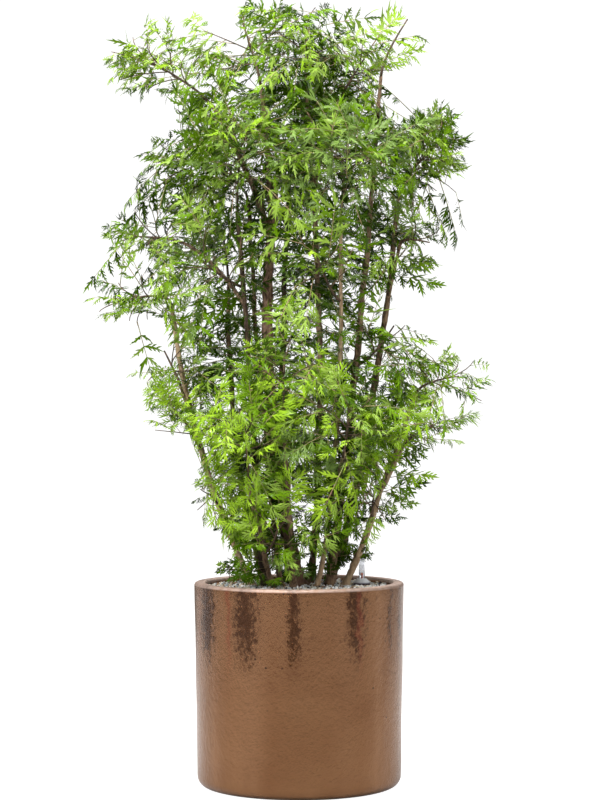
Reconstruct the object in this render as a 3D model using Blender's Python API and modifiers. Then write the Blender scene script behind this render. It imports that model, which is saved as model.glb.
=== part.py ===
# Potted ming aralia: thirteen woody stems fan out of a glazed cylinder pot filled with
# pumice grains, and carry boughs and masses of finely cut leaves. The origin is the centre
# of the pot's flat underside, +Z is up, and the plant is seen from -Y. Sizes are in metres.

import math
import random

import bmesh
import bpy
from mathutils import Matrix, Vector
from mathutils.bvhtree import BVHTree

# Pot
POT_HEIGHT = 0.417
POT_TOP_RADIUS = 0.215
POT_FOOT_RADIUS = 0.209
RIM_WIDTH = 0.024
RIM_EDGE_RADIUS = 0.006
FOOT_EDGE_RADIUS = 0.022
WALL_AT_FLOOR = 0.019
FLOOR_THICKNESS = 0.024
ARC_STEPS = 3
ROUND_STEPS = 36

# Filling of pumice grains
FILL_TOP = 0.405
FIT_GAP = 0.0003  # between pieces that touch
GROUND = FILL_TOP + FIT_GAP

# Water gauge
GAUGE_PLACE = (0.1297, 0.045)
COLLAR_RADIUS = 0.018
COLLAR_HEIGHT = 0.015
COLLAR_TOP_RADIUS = 0.010
COLLAR_SLOPE = 0.007
TUBE_RADIUS = 0.0062
TUBE_WALL = 0.0012
TUBE_HEIGHT = 0.052
FLOAT_RADIUS = 0.0028
FLOAT_HEIGHT = 0.012
GAUGE_STEPS = 16

# Stems and boughs
FLARE = 0.42  # how much wider a stem is at the ground
FLARE_HEIGHT = 0.020  # where the flare ends
STEM_RINGS = 8
BOUGH_RINGS = 5
LIMB_ROUNDNESS = 1  # bevel resolution: six sides
RUN_DOWN = 0.03  # how far a stem's axis runs on below the ground, before its flat cut
BOUGH_ARCH = 0.10  # share of its length by which a bough bows up along its stem
SEAT_GAP = FIT_GAP * 1.15  # six-sided limbs lie a little inside their radius
LIMB_CLEARANCE = 0.0016  # between a limb and the twigs and leaves that pass it

# Leaves and twigs
LEAF_LENGTH = 0.150
ROOMY_SPACE = 0.100  # mean half-size of a space that full leaves fit in
LEAF_WIDTH = 0.54  # share of the length
LEAF_THICKNESS = 0.028  # share of the length
LEAF_BELLY = 0.36  # where the blade is widest, from its root
LEAF_ROOT = 0.055  # the root's section, as a share of the widest one
LEAF_SUNK = 0.002  # length of a leaf's root inside its twig's end
LEAF_SIZES = (1.0, 0.88, 0.77, 0.67, 0.58, 0.50)  # tried in turn where the room is small
LEAF_DROOP = 0.55
LEAF_FACING = 1.3  # how far a blade's face turns out from the plant's middle
LEAF_ASIDE = 0.75  # heading of a side leaf, along and across its twig
LEAF_OUTWARD = 0.3
LEAF_WANDER = 0.2  # how far a leaf turns aside at each try
FACE_WANDER = 0.35
LEAF_TRIES = 8
LEAVES_ON_TWIG = ((0, 1.0), (1, 0.60), (-1, 0.76), (1, 0.88))  # side and place along the twig
LEAVES_A_TWIG = 3.2  # the mean, which sets the number of twigs
TWIG_RADIUS = 0.0020
TWIG_REACH = 0.36  # share of the space's half-size
TWIG_REACHES = (0.8, 1.1)  # range of the reach
TWIG_FEET = (0.42, 0.94)  # the stretch of the stalk that twigs leave
TWIG_FEET_SPREAD = 0.25  # twigs that head outwards leave further along
TWIG_FOOT_SHIFT = 0.06
TWIG_SPREAD = 1.72  # 2 would send twigs straight back along the stalk too
NECK_RADIUS = 0.0046  # the first piece of a mass's stem, from its limb to the bend
NECK_SHARE = 0.3  # of the way to the stalk's end
BEND_OVERLAP = 0.55  # of the neck's radius, by which each piece runs past the bend
STALK_RADIUS = 0.0039  # the second piece, through the middle of the mass
STALK_TIP_RADIUS = 0.0034
STALK_PAST_MIDDLE = 0.3
SIDE_NECK_RISE = 0.35
STALK_TRIES = 60
STALK_WANDER = 0.011
SPACE_GAP = 0.0015  # between a mass and its neighbours, from each side
GOLDEN_ANGLE = math.pi * (3 - math.sqrt(5))
UP = Vector((0, 0, 1))

# Each stem: foot (x, y), knee (x, y, z), tip (x, y, z), radius above the flare, radius at the tip
STEMS = {
    "stem_left": ((-0.098, 0.020), (-0.205, 0.005, 0.70), (-0.262, -0.010, 0.985), 0.0072, 0.0042),
    "stem_left_inner": ((-0.072, -0.005), (-0.099, -0.015, 0.80), (-0.125, -0.045, 1.170), 0.0070, 0.0045),
    "stem_slim": ((-0.038, 0.012), (-0.079, 0.040, 0.82), (-0.105, 0.045, 1.200), 0.0055, 0.0038),
    "trunk": ((0.000, 0.025), (-0.060, 0.010, 0.80), (-0.050, 0.010, 1.240), 0.0150, 0.0085),
    "stem_middle": ((0.024, 0.062), (0.042, 0.045, 0.86), (0.015, 0.010, 1.425), 0.0072, 0.0042),
    "stem_pale": ((0.036, -0.010), (0.076, -0.025, 0.72), (0.085, -0.060, 1.150), 0.0050, 0.0036),
    "stem_right_inner": ((0.062, 0.030), (0.116, 0.015, 0.86), (0.168, 0.000, 1.455), 0.0090, 0.0036),
    "stem_right": ((0.062, 0.075), (0.142, 0.080, 0.72), (0.205, 0.050, 1.200), 0.0090, 0.0048),
    "stem_right_outer": ((0.094, 0.018), (0.163, -0.005, 0.585), (0.236, -0.025, 0.800), 0.0068, 0.0040),
    "stem_back": ((-0.020, 0.080), (-0.035, 0.120, 0.78), (-0.020, 0.125, 1.270), 0.0078, 0.0045),
    "stem_back_left": ((-0.070, 0.062), (-0.130, 0.115, 0.68), (-0.150, 0.150, 1.030), 0.0070, 0.0042),
    "stem_front": ((-0.010, -0.025), (-0.020, -0.085, 0.56), (-0.030, -0.120, 0.745), 0.0066, 0.0040),
    "stem_front_left": ((-0.052, -0.032), (-0.082, -0.085, 0.52), (-0.100, -0.120, 0.630), 0.0062, 0.0040),
}

# Each bough: the stem it leaves, the height there, tip (x, y, z), radius at its foot, radius at its tip
BOUGHS = {
    "bough_top_left": ("trunk", 1.120, (-0.185, -0.010, 1.400), 0.0066, 0.0042),
    "bough_top_middle": ("trunk", 1.150, (-0.078, -0.045, 1.430), 0.0056, 0.0038),
    "bough_top_right": ("stem_middle", 1.215, (0.082, -0.005, 1.405), 0.0048, 0.0034),
    "bough_right": ("stem_right", 1.000, (0.208, 0.005, 1.112), 0.0042, 0.0030),
    "bough_left": ("stem_left_inner", 0.985, (-0.236, 0.000, 1.112), 0.0042, 0.0030),
    "bough_low_left": ("stem_left", 0.725, (-0.242, -0.035, 0.820), 0.0040, 0.0030),
    "bough_low_right": ("stem_right_outer", 0.610, (0.214, -0.050, 0.700), 0.0040, 0.0030),
    "bough_front_right": ("stem_pale", 0.560, (0.088, -0.085, 0.675), 0.0040, 0.0030),
}

# Each mass of foliage: centre, half-sizes, the limb that carries it, the height on that limb
# (None at the limb's tip), and its number of leaves
MASSES = {
    "leaves_top_left": ((-0.283, -0.020, 1.471), (0.152, 0.122, 0.128), "bough_top_left", None, 18),
    "leaves_top_middle_left": ((-0.105, -0.035, 1.524), (0.128, 0.122, 0.107), "bough_top_middle", None, 16),
    "leaves_top_middle": ((0.015, -0.020, 1.528), (0.104, 0.122, 0.107), "stem_middle", None, 15),
    "leaves_top_right": ((0.118, -0.010, 1.464), (0.116, 0.122, 0.116), "bough_top_right", None, 16),
    "leaves_top_wisp": ((0.200, 0.005, 1.535), (0.081, 0.073, 0.061), "stem_right_inner", None, 9),
    "leaves_right_lobe": ((0.260, 0.020, 1.305), (0.104, 0.116, 0.140), "stem_right", None, 16),
    "leaves_right": ((0.239, -0.010, 1.112), (0.110, 0.104, 0.095), "bough_right", None, 14),
    "leaves_left_upper": ((-0.232, 0.005, 1.275), (0.124, 0.122, 0.104), "stem_slim", None, 16),
    "leaves_left_arm_upper": ((-0.307, 0.005, 1.122), (0.122, 0.110, 0.083), "bough_left", None, 14),
    "leaves_left_arm": ((-0.331, -0.020, 0.995), (0.116, 0.110, 0.081), "stem_left", None, 14),
    "leaves_left_lower": ((-0.262, -0.030, 0.862), (0.112, 0.116, 0.091), "bough_low_left", None, 14),
    "leaves_left_lowest": ((-0.224, -0.050, 0.735), (0.112, 0.110, 0.076), "stem_left", 0.690, 12),
    "leaves_low_left": ((-0.160, -0.030, 0.590), (0.083, 0.104, 0.098), "stem_left", 0.575, 10),
    "leaves_front_left": ((-0.105, -0.152, 0.705), (0.140, 0.116, 0.095), "stem_front_left", None, 15),
    "leaves_front_low": ((-0.050, -0.129, 0.505), (0.110, 0.098, 0.107), "stem_front_left", 0.480, 13),
    "leaves_front_middle": ((-0.030, -0.142, 0.842), (0.137, 0.122, 0.104), "stem_front", None, 16),
    "leaves_front_right": ((0.095, -0.137, 0.735), (0.122, 0.122, 0.110), "bough_front_right", None, 15),
    "leaves_right_low": ((0.153, -0.045, 0.590), (0.107, 0.116, 0.128), "stem_right_outer", 0.550, 14),
    "leaves_right_arm": ((0.287, -0.020, 0.838), (0.122, 0.116, 0.090), "stem_right_outer", None, 14),
    "leaves_right_lower": ((0.246, -0.055, 0.722), (0.110, 0.110, 0.076), "bough_low_right", None, 12),
    "leaves_right_waist": ((0.173, -0.010, 0.920), (0.104, 0.116, 0.100), "stem_right_inner", 0.860, 14),
    "leaves_upper_front_left": ((-0.115, -0.127, 1.290), (0.140, 0.122, 0.122), "stem_left_inner", None, 18),
    "leaves_upper_front_right": ((0.095, -0.122, 1.265), (0.140, 0.122, 0.122), "stem_pale", None, 18),
    "leaves_waist_left": ((-0.184, -0.075, 1.080), (0.100, 0.116, 0.104), "stem_left_inner", 1.020, 13),
    "leaves_waist_front": ((0.045, -0.107, 1.065), (0.122, 0.116, 0.104), "stem_pale", 0.990, 14),
    "leaves_heart": ((0.005, 0.030, 1.345), (0.140, 0.110, 0.110), "trunk", None, 14),
    "leaves_back_top": ((-0.010, 0.149, 1.395), (0.171, 0.146, 0.146), "stem_back", None, 18),
    "leaves_back_right": ((0.137, 0.170, 1.130), (0.159, 0.140, 0.146), "stem_right", 1.060, 17),
    "leaves_back_left": ((-0.167, 0.160, 1.160), (0.159, 0.140, 0.146), "stem_back_left", None, 17),
    "leaves_back_waist": ((0.000, 0.201, 0.960), (0.146, 0.128, 0.128), "stem_back", 0.900, 15),
    "leaves_back_low_right": ((0.143, 0.170, 0.820), (0.152, 0.134, 0.128), "stem_right", 0.760, 15),
    "leaves_back_low_left": ((-0.144, 0.166, 0.850), (0.146, 0.128, 0.128), "stem_back_left", 0.790, 15),
    "leaves_back_low": ((0.015, 0.167, 0.660), (0.146, 0.116, 0.110), "stem_back", 0.610, 14),
    "sprig": ((-0.145, 0.055, 0.437), (0.040, 0.035, 0.028), None, None, 5),
}
SPRIG_FOOT = (-0.145, 0.055)  # a young shoot that rises from the filling by itself
STEM_SEED = 100
LEAF_SEED = 500


def clear_scene():
    for obj in list(bpy.data.objects):
        bpy.data.objects.remove(obj, do_unlink=True)


def make_collection(name):
    collection = bpy.data.collections.new(name)
    bpy.context.scene.collection.children.link(collection)
    return collection


def make_material(name, colour, roughness, metallic=0.0, alpha=1.0):
    material = bpy.data.materials.new(name)
    material.use_nodes = True
    shader = material.node_tree.nodes["Principled BSDF"]
    shader.inputs["Base Color"].default_value = (*colour, 1.0)
    shader.inputs["Roughness"].default_value = roughness
    shader.inputs["Metallic"].default_value = metallic
    shader.inputs["Alpha"].default_value = alpha
    return material


def add_object(name, mesh, collection, material=None):
    obj = bpy.data.objects.new(name, mesh)
    collection.objects.link(obj)
    if material is not None:
        mesh.materials.clear()
        mesh.materials.append(material)
    return obj


def evaluated_mesh(obj):
    """The object's mesh with its modifiers applied, in world space."""
    graph = bpy.context.evaluated_depsgraph_get()
    mesh = bpy.data.meshes.new_from_object(obj.evaluated_get(graph))
    mesh.transform(obj.matrix_world)
    return mesh


def weld(mesh):
    shape = bmesh.new()
    shape.from_mesh(mesh)
    bmesh.ops.remove_doubles(shape, verts=shape.verts, dist=1e-5)
    bmesh.ops.recalc_face_normals(shape, faces=shape.faces)
    shape.to_mesh(mesh)
    shape.free()


def surface_tree(mesh):
    return BVHTree.FromPolygons(
        [v.co.copy() for v in mesh.vertices],
        [tuple(p.vertices) for p in mesh.polygons],
    )


# Turned pieces: the pot, its filling and the gauge


def arc(centre, radius, start, end, steps):
    """Points (x, z) of an arc; the angles are in degrees from +X towards +Z."""
    points = []
    for i in range(steps + 1):
        angle = math.radians(start + (end - start) * i / steps)
        points.append((centre[0] + radius * math.cos(angle), centre[1] + radius * math.sin(angle)))
    return points


def turned(name, profile, place, steps, collection, material):
    """A profile of (radius, height) points, turned about the vertical through place."""
    mesh = bpy.data.meshes.new(name)
    shape = bmesh.new()
    verts = [shape.verts.new((radius, 0, height)) for radius, height in profile]
    for first, second in zip(verts, verts[1:]):
        shape.edges.new((first, second))
    shape.to_mesh(mesh)
    shape.free()
    obj = add_object(name, mesh, collection, material)
    obj.location = (place[0], place[1], 0)
    screw = obj.modifiers.new("turn", "SCREW")
    screw.axis = "Z"
    screw.angle = math.tau
    screw.steps = steps
    screw.render_steps = steps
    screw.use_merge_vertices = True
    screw.merge_threshold = 0.0001
    screw.use_smooth_shade = True
    return obj


def inner_radius(height):
    """The pot's inner radius: the wall is thickest at the rim."""
    rim = POT_TOP_RADIUS - RIM_WIDTH
    floor = POT_FOOT_RADIUS - WALL_AT_FLOOR
    share = (height - FLOOR_THICKNESS) / (POT_HEIGHT - FLOOR_THICKNESS)
    return floor + (rim - floor) * share


def make_pot(collection, material):
    rim = POT_HEIGHT - RIM_EDGE_RADIUS
    inner_edge = (inner_radius(rim) + RIM_EDGE_RADIUS, rim)
    outer_edge = (POT_TOP_RADIUS - RIM_EDGE_RADIUS, rim)
    foot_edge = (POT_FOOT_RADIUS - FOOT_EDGE_RADIUS, FOOT_EDGE_RADIUS)
    profile = [(0, FLOOR_THICKNESS), (inner_radius(FLOOR_THICKNESS), FLOOR_THICKNESS)]
    profile += arc(inner_edge, RIM_EDGE_RADIUS, 180, 90, ARC_STEPS)
    profile += arc(outer_edge, RIM_EDGE_RADIUS, 90, 0, ARC_STEPS)
    profile += arc(foot_edge, FOOT_EDGE_RADIUS, 0, -90, ARC_STEPS + 1)
    profile.append((0, 0))
    return turned("pot", profile, (0, 0), ROUND_STEPS, collection, material)


def make_filling(collection, material):
    low = FLOOR_THICKNESS + FIT_GAP
    profile = [(0, FILL_TOP), (inner_radius(FILL_TOP) - FIT_GAP, FILL_TOP)]
    profile += [(inner_radius(low) - FIT_GAP, low), (0, low)]
    return turned("filling", profile, (0, 0), ROUND_STEPS, collection, material)


def make_collar(collection, material):
    top = GROUND + COLLAR_HEIGHT
    profile = [(0, top), (COLLAR_TOP_RADIUS, top), (COLLAR_RADIUS, top - COLLAR_SLOPE)]
    profile += [(COLLAR_RADIUS, GROUND), (0, GROUND)]
    return turned("gauge_collar", profile, GAUGE_PLACE, GAUGE_STEPS, collection, material)


def make_tube(collection, material):
    """The gauge's clear tube, closed at its top and open at its foot."""
    foot = GROUND + COLLAR_HEIGHT + FIT_GAP
    top = foot + TUBE_HEIGHT
    bore = TUBE_RADIUS - TUBE_WALL
    profile = [(0, top), (TUBE_RADIUS, top), (TUBE_RADIUS, foot)]
    profile += [(bore, foot), (bore, top - TUBE_WALL), (0, top - TUBE_WALL)]
    return turned("gauge_tube", profile, GAUGE_PLACE, GAUGE_STEPS, collection, material)


def make_float(collection, material):
    foot = GROUND + COLLAR_HEIGHT + FIT_GAP
    top = foot + FLOAT_HEIGHT
    profile = [(0, top), (FLOAT_RADIUS, top), (FLOAT_RADIUS, foot), (0, foot)]
    return turned("gauge_float", profile, GAUGE_PLACE, GAUGE_STEPS, collection, material)


# Limbs: tapering curves, cut flat at the ground or seated on the stem that carries them


def through(first, middle, last, count, start=0.0):
    """Points on the quadratic curve that passes middle half way; start below 0 runs on behind first."""
    control = 2 * middle - (first + last) / 2
    points = []
    for i in range(count):
        t = start + (1 - start) * i / (count - 1)
        points.append(first * (1 - t) ** 2 + control * 2 * t * (1 - t) + last * t * t)
    return points


def tube_mesh(name, points, radii):
    curve = bpy.data.curves.new(name, "CURVE")
    curve.dimensions = "3D"
    curve.bevel_depth = 1.0
    curve.bevel_resolution = LIMB_ROUNDNESS
    curve.use_fill_caps = True
    spline = curve.splines.new("POLY")
    spline.points.add(len(points) - 1)
    for place, point, radius in zip(spline.points, points, radii):
        place.co = (*point, 1.0)
        place.radius = radius
    guide = bpy.data.objects.new(name, curve)
    bpy.context.scene.collection.objects.link(guide)
    mesh = evaluated_mesh(guide)
    bpy.data.objects.remove(guide, do_unlink=True)
    weld(mesh)
    return mesh


def cut_flat(mesh, height):
    """Removes what is below the height and closes the cut."""
    shape = bmesh.new()
    shape.from_mesh(mesh)
    whole = shape.verts[:] + shape.edges[:] + shape.faces[:]
    bmesh.ops.bisect_plane(
        shape, geom=whole, dist=1e-6, plane_co=(0, 0, height), plane_no=(0, 0, 1), clear_inner=True
    )
    bmesh.ops.holes_fill(shape, edges=[e for e in shape.edges if e.is_boundary])
    bmesh.ops.recalc_face_normals(shape, faces=shape.faces)
    shape.to_mesh(mesh)
    shape.free()


def cut_by(mesh, cutter_mesh, collection):
    """The mesh less the cutter."""
    body = add_object("body_to_cut", mesh, collection)
    cutter = add_object("cutter", cutter_mesh, collection)
    cutter.hide_render = True
    cutter.display_type = "WIRE"
    cut = body.modifiers.new("seat", "BOOLEAN")
    cut.operation = "DIFFERENCE"
    cut.object = cutter
    bpy.context.view_layer.update()
    result = evaluated_mesh(body)
    for obj in (body, cutter):
        bpy.data.objects.remove(obj, do_unlink=True)
    return result


class Limb:
    """The axis points and radii of a stem or a bough."""

    def __init__(self, points, radii):
        self.points = points
        self.radii = radii

    def at_height(self, height):
        """The axis point and heading where the limb passes a height."""
        for low, high in zip(self.points, self.points[1:]):
            if low.z <= height <= high.z:
                share = (height - low.z) / (high.z - low.z)
                return low.lerp(high, share), (high - low).normalized()
        raise ValueError(f"the limb doesn't pass {height}")

    def tip(self):
        return self.points[-1], (self.points[-1] - self.points[-2]).normalized()

    def mesh(self, name, wider=0.0):
        return tube_mesh(name, self.points, [radius + wider for radius in self.radii])


def stem_limb(row):
    """A stem's axis from below the ground to its tip, with a short flare at the ground."""
    foot, knee, tip, radius, tip_radius = row
    first = Vector((*foot, GROUND))
    last = Vector(tip)
    run_down = -RUN_DOWN / (last - first).length
    points = through(first, Vector(knee), last, STEM_RINGS, run_down)
    rise = (GROUND + FLARE_HEIGHT - points[0].z) / (points[1].z - points[0].z)
    points.insert(1, points[0].lerp(points[1], rise))
    radii = []
    for point in points:
        share = max(0.0, point.z - GROUND) / (tip[2] - GROUND)
        radii.append(radius + (tip_radius - radius) * share)
    radii[0] *= 1 + FLARE * (FLARE_HEIGHT + RUN_DOWN) / FLARE_HEIGHT
    return Limb(points, radii)


def make_stem(name, limb, collection, material):
    mesh = limb.mesh(name)
    cut_flat(mesh, GROUND)
    return add_object(name, mesh, collection, material)


def bough_limb(row, limbs):
    carrier, height, tip, radius, tip_radius = row
    start, heading = limbs[carrier].at_height(height)
    end = Vector(tip)
    middle = (start + end) / 2 + heading * (end - start).length * BOUGH_ARCH
    points = through(start, middle, end, BOUGH_RINGS)
    shares = [i / (BOUGH_RINGS - 1) for i in range(BOUGH_RINGS)]
    return Limb(points, [radius + (tip_radius - radius) * share for share in shares])


def make_bough(name, limb, carrier, collection, cutters, material):
    """A bough whose foot is cut to the side of the stem that carries it, one fit gap clear."""
    seated = cut_by(limb.mesh(name), carrier.mesh("stem_to_cut", SEAT_GAP), cutters)
    return add_object(name, largest_body(seated), collection, material)


def largest_body(mesh):
    """Keeps the mesh's largest connected part."""
    shape = bmesh.new()
    shape.from_mesh(mesh)
    left = set(shape.verts)
    bodies = []
    while left:
        queue = [left.pop()]
        body = set(queue)
        while queue:
            vert = queue.pop()
            for edge in vert.link_edges:
                other = edge.other_vert(vert)
                if other in left:
                    left.remove(other)
                    body.add(other)
                    queue.append(other)
        bodies.append(body)
    bodies.sort(key=len)
    for body in bodies[:-1]:
        bmesh.ops.delete(shape, geom=list(body), context="VERTS")
    shape.to_mesh(mesh)
    shape.free()
    return mesh


# Foliage: each mass is a stem of two pieces, twigs and leaves, fused


def frame_along(direction, upward):
    """A rotation whose Z is the direction and whose Y leans towards upward."""
    z = direction.normalized()
    x = upward.cross(z)
    if x.length < 1e-4:
        x = Vector((1, 0, 0)).cross(z)
    x.normalize()
    y = z.cross(x)
    return Matrix((x, y, z)).transposed()


def twig_mesh(start, end, radius, end_radius):
    """A three-sided tapering twig."""
    mesh = bpy.data.meshes.new("twig")
    shape = bmesh.new()
    length = (end - start).length
    bmesh.ops.create_cone(
        shape, cap_ends=True, segments=3, radius1=radius, radius2=end_radius, depth=length
    )
    turn = frame_along(end - start, UP).to_4x4()
    bmesh.ops.transform(shape, matrix=Matrix.Translation((start + end) / 2) @ turn, verts=shape.verts)
    shape.to_mesh(mesh)
    shape.free()
    return mesh


def leaf_mesh(root, direction, facing, length):
    """A pointed blade with a flat face and a low keel, made from a three-sided ball of two rings."""
    mesh = bpy.data.meshes.new("leaf")
    shape = bmesh.new()
    bmesh.ops.create_uvsphere(shape, u_segments=3, v_segments=3, radius=1)
    half_width = length * LEAF_WIDTH / math.sqrt(3)
    keel_depth = length * LEAF_THICKNESS / 1.5
    for vert in shape.verts:
        ring = math.hypot(vert.co.x, vert.co.y)
        at_root = vert.co.z < 0
        if ring < 0.1:
            vert.co = (0, 0, -TWIG_RADIUS / 2 if at_root else length)
            continue
        section = LEAF_ROOT if at_root else 1
        side = vert.co.y / ring * half_width * section
        keel = -vert.co.x / ring * keel_depth * section
        vert.co = (side, keel, 0 if at_root else length * LEAF_BELLY)
    turn = frame_along(direction, facing).to_4x4()
    bmesh.ops.transform(shape, matrix=Matrix.Translation(root) @ turn, verts=shape.verts)
    shape.to_mesh(mesh)
    shape.free()
    return mesh


class Space:
    """The room of one mass: an ellipsoid, less what lies nearer to its neighbours."""

    def __init__(self, name, centre, halves):
        self.name = name
        self.centre = Vector(centre)
        self.halves = Vector(halves)
        self.reach = sum(halves) / 3
        self.neighbours = []

    def find_neighbours(self, spaces):
        for other in spaces:
            apart = (other.centre - self.centre).length
            if other is not self and apart < self.halves.length + other.halves.length:
                self.neighbours.append((other, apart))

    def point(self, direction, share):
        """A point on the way from the centre to the ellipsoid."""
        return self.centre + Vector([direction[k] * self.halves[k] * share for k in range(3)])

    def holds(self, point):
        offset = point - self.centre
        if sum((offset[k] / self.halves[k]) ** 2 for k in range(3)) > 1:
            return False
        own = offset.length_squared - self.reach**2
        for other, apart in self.neighbours:
            theirs = (point - other.centre).length_squared - other.reach**2
            if (theirs - own) / (2 * apart) < SPACE_GAP:
                return False
        return True


def clear_of(mesh, obstacles):
    tree = surface_tree(mesh)
    return not any(tree.overlap(obstacle) for obstacle in obstacles)


def scatter(rng, by):
    return Vector([rng.uniform(-by, by) for _ in range(3)])


def spread_directions(count, pole, rng):
    """Directions spread evenly over a sphere, from the pole round to its far side."""
    turn = frame_along(pole, UP)
    phase = rng.uniform(0, math.tau)
    found = []
    for i in range(count):
        height = 1 - TWIG_SPREAD * (i + 0.15) / count
        across = math.sqrt(max(0.0, 1 - height * height))
        angle = phase + i * GOLDEN_ANGLE
        found.append(turn @ Vector((across * math.cos(angle), across * math.sin(angle), height)))
    return found


class MassStem:
    """The stem of one mass: a neck from its limb to a bend, and a stalk on through the space."""

    def __init__(self, space, carrier, height, obstacles, cutters, rng):
        side = height is not None
        if carrier is None:
            start, heading = Vector((*SPRIG_FOOT, GROUND)), UP
        elif side:
            start, rising = carrier.at_height(height)
            outward = space.centre - start
            outward -= rising * outward.dot(rising)
            heading = (outward.normalized() + rising * SIDE_NECK_RISE).normalized()
        else:
            start, heading = carrier.tip()
            start = start + heading * FIT_GAP
        self.bend, self.end = clear_way(space, start, heading, obstacles, rng)
        self.outward = (self.end - self.bend).normalized()
        past_bend = self.bend + (self.bend - start).normalized() * NECK_RADIUS * BEND_OVERLAP
        self.neck = twig_mesh(start, past_bend, NECK_RADIUS, NECK_RADIUS)
        if side:
            self.neck = largest_body(cut_by(self.neck, carrier.mesh("stem_to_cut", SEAT_GAP), cutters))
        sunk = self.outward * NECK_RADIUS * BEND_OVERLAP
        self.stalk = twig_mesh(self.bend - sunk, self.end, STALK_RADIUS, STALK_TIP_RADIUS)
        kept_clear = NECK_RADIUS + SPACE_GAP
        around = bmesh.new()
        around.from_mesh(twig_mesh(start, self.bend, kept_clear, kept_clear))
        around.from_mesh(twig_mesh(self.bend, self.end, kept_clear, kept_clear))
        self.kept_clear = BVHTree.FromBMesh(around)
        around.free()


def clear_way(space, start, heading, obstacles, rng):
    """The bend and the end of a mass's stem that keeps off the other limbs."""
    outward = (space.centre - start).normalized()
    for attempt in range(STALK_TRIES):
        shift = space.point(scatter(rng, STALK_WANDER * attempt), 1) - space.centre
        end = space.centre + shift + outward * space.reach * STALK_PAST_MIDDLE
        bend = start + heading * (end - start).length * NECK_SHARE
        neck = twig_mesh(start, bend, NECK_RADIUS, NECK_RADIUS)
        stalk = twig_mesh(bend, end, NECK_RADIUS, NECK_RADIUS)
        if clear_of(neck, obstacles) and clear_of(stalk, obstacles):
            return bend, end
    raise ValueError(f"{space.name}: no clear way for its stem")


def fuse(name, meshes, collection, operands, material):
    """One Boolean union of all the meshes."""
    body = add_object(name, meshes[0], collection, material)
    for mesh in meshes[1:]:
        add_object("operand", mesh, operands)
    union = body.modifiers.new("fuse", "BOOLEAN")
    union.operation = "UNION"
    union.operand_type = "COLLECTION"
    union.collection = operands
    union.solver = "MANIFOLD"
    bpy.context.view_layer.update()
    fused = evaluated_mesh(body)
    bpy.data.objects.remove(body, do_unlink=True)
    for operand in list(operands.objects):
        bpy.data.objects.remove(operand, do_unlink=True)
    return add_object(name, without_spare_points(largest_body(fused)), collection, material)


def without_spare_points(mesh):
    """The mesh less the points that only divide a straight edge."""
    shape = bmesh.new()
    shape.from_mesh(mesh)
    spare = [v for v in shape.verts if len(v.link_edges) == 2]
    bmesh.ops.dissolve_verts(shape, verts=spare)
    shape.to_mesh(mesh)
    shape.free()
    return mesh


def grow_twigs(space, stem, count, obstacles, rng):
    """Twigs from the stalk towards all sides of the space: (foot, tip, way out, mesh) of each."""
    nearest, furthest = TWIG_FEET
    twigs = []
    for direction in spread_directions(count, stem.outward, rng):
        share = nearest + TWIG_FEET_SPREAD * (1 + direction.dot(stem.outward))
        share += rng.uniform(-TWIG_FOOT_SHIFT, TWIG_FOOT_SHIFT)
        foot = stem.bend.lerp(stem.end, min(furthest, share))
        tip = space.point(direction, TWIG_REACH * rng.uniform(*TWIG_REACHES))
        mesh = twig_mesh(foot, tip, TWIG_RADIUS, TWIG_RADIUS)
        if all(space.holds(v.co) for v in mesh.vertices) and clear_of(mesh, obstacles):
            twigs.append((foot, tip, direction, mesh))
    return twigs


def grow_leaf(space, root, direction, full_length, obstacles, rng):
    """A leaf that stays in the space and touches nothing, or None."""
    outwards = Vector((space.centre.x, space.centre.y, 0)).normalized() * LEAF_FACING + UP
    for attempt in range(LEAF_TRIES):
        heading = (direction + scatter(rng, LEAF_WANDER * attempt)).normalized()
        facing = outwards + scatter(rng, FACE_WANDER)
        for size in LEAF_SIZES:
            blade = leaf_mesh(root, heading, facing, full_length * size)
            beyond_root = [v.co for v in blade.vertices if (v.co - root).length > 0.01]
            if all(space.holds(place) for place in beyond_root) and clear_of(blade, obstacles):
                return blade
    return None


def grow_leaves(space, stem, twigs, count, obstacles, rng):
    """Leaves at the twigs' tips first, then along their sides."""
    full_length = LEAF_LENGTH * min(1.0, space.reach / ROOMY_SPACE)
    twig_trees = [surface_tree(mesh) for _, _, _, mesh in twigs]
    stalk_tree = surface_tree(stem.stalk)
    leaves = []
    leaf_trees = []
    for side, place in LEAVES_ON_TWIG:
        for number, (foot, tip, way_out, _) in enumerate(twigs):
            if len(leaves) == count:
                return leaves
            along = (tip - foot).normalized()
            if side == 0:
                root = tip - along * LEAF_SUNK
                heading = along - UP * LEAF_DROOP * rng.random()
            else:
                root = foot.lerp(tip, place)
                across = along.cross(UP).normalized() * side
                heading = (along + across) * LEAF_ASIDE + way_out * LEAF_OUTWARD
            other_twigs = twig_trees[:number] + twig_trees[number + 1:]
            near = obstacles + leaf_trees + other_twigs + [stalk_tree]
            leaf = grow_leaf(space, root, heading.normalized(), full_length, near, rng)
            if leaf is not None:
                leaves.append(leaf)
                leaf_trees.append(surface_tree(leaf))
    return leaves


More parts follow.
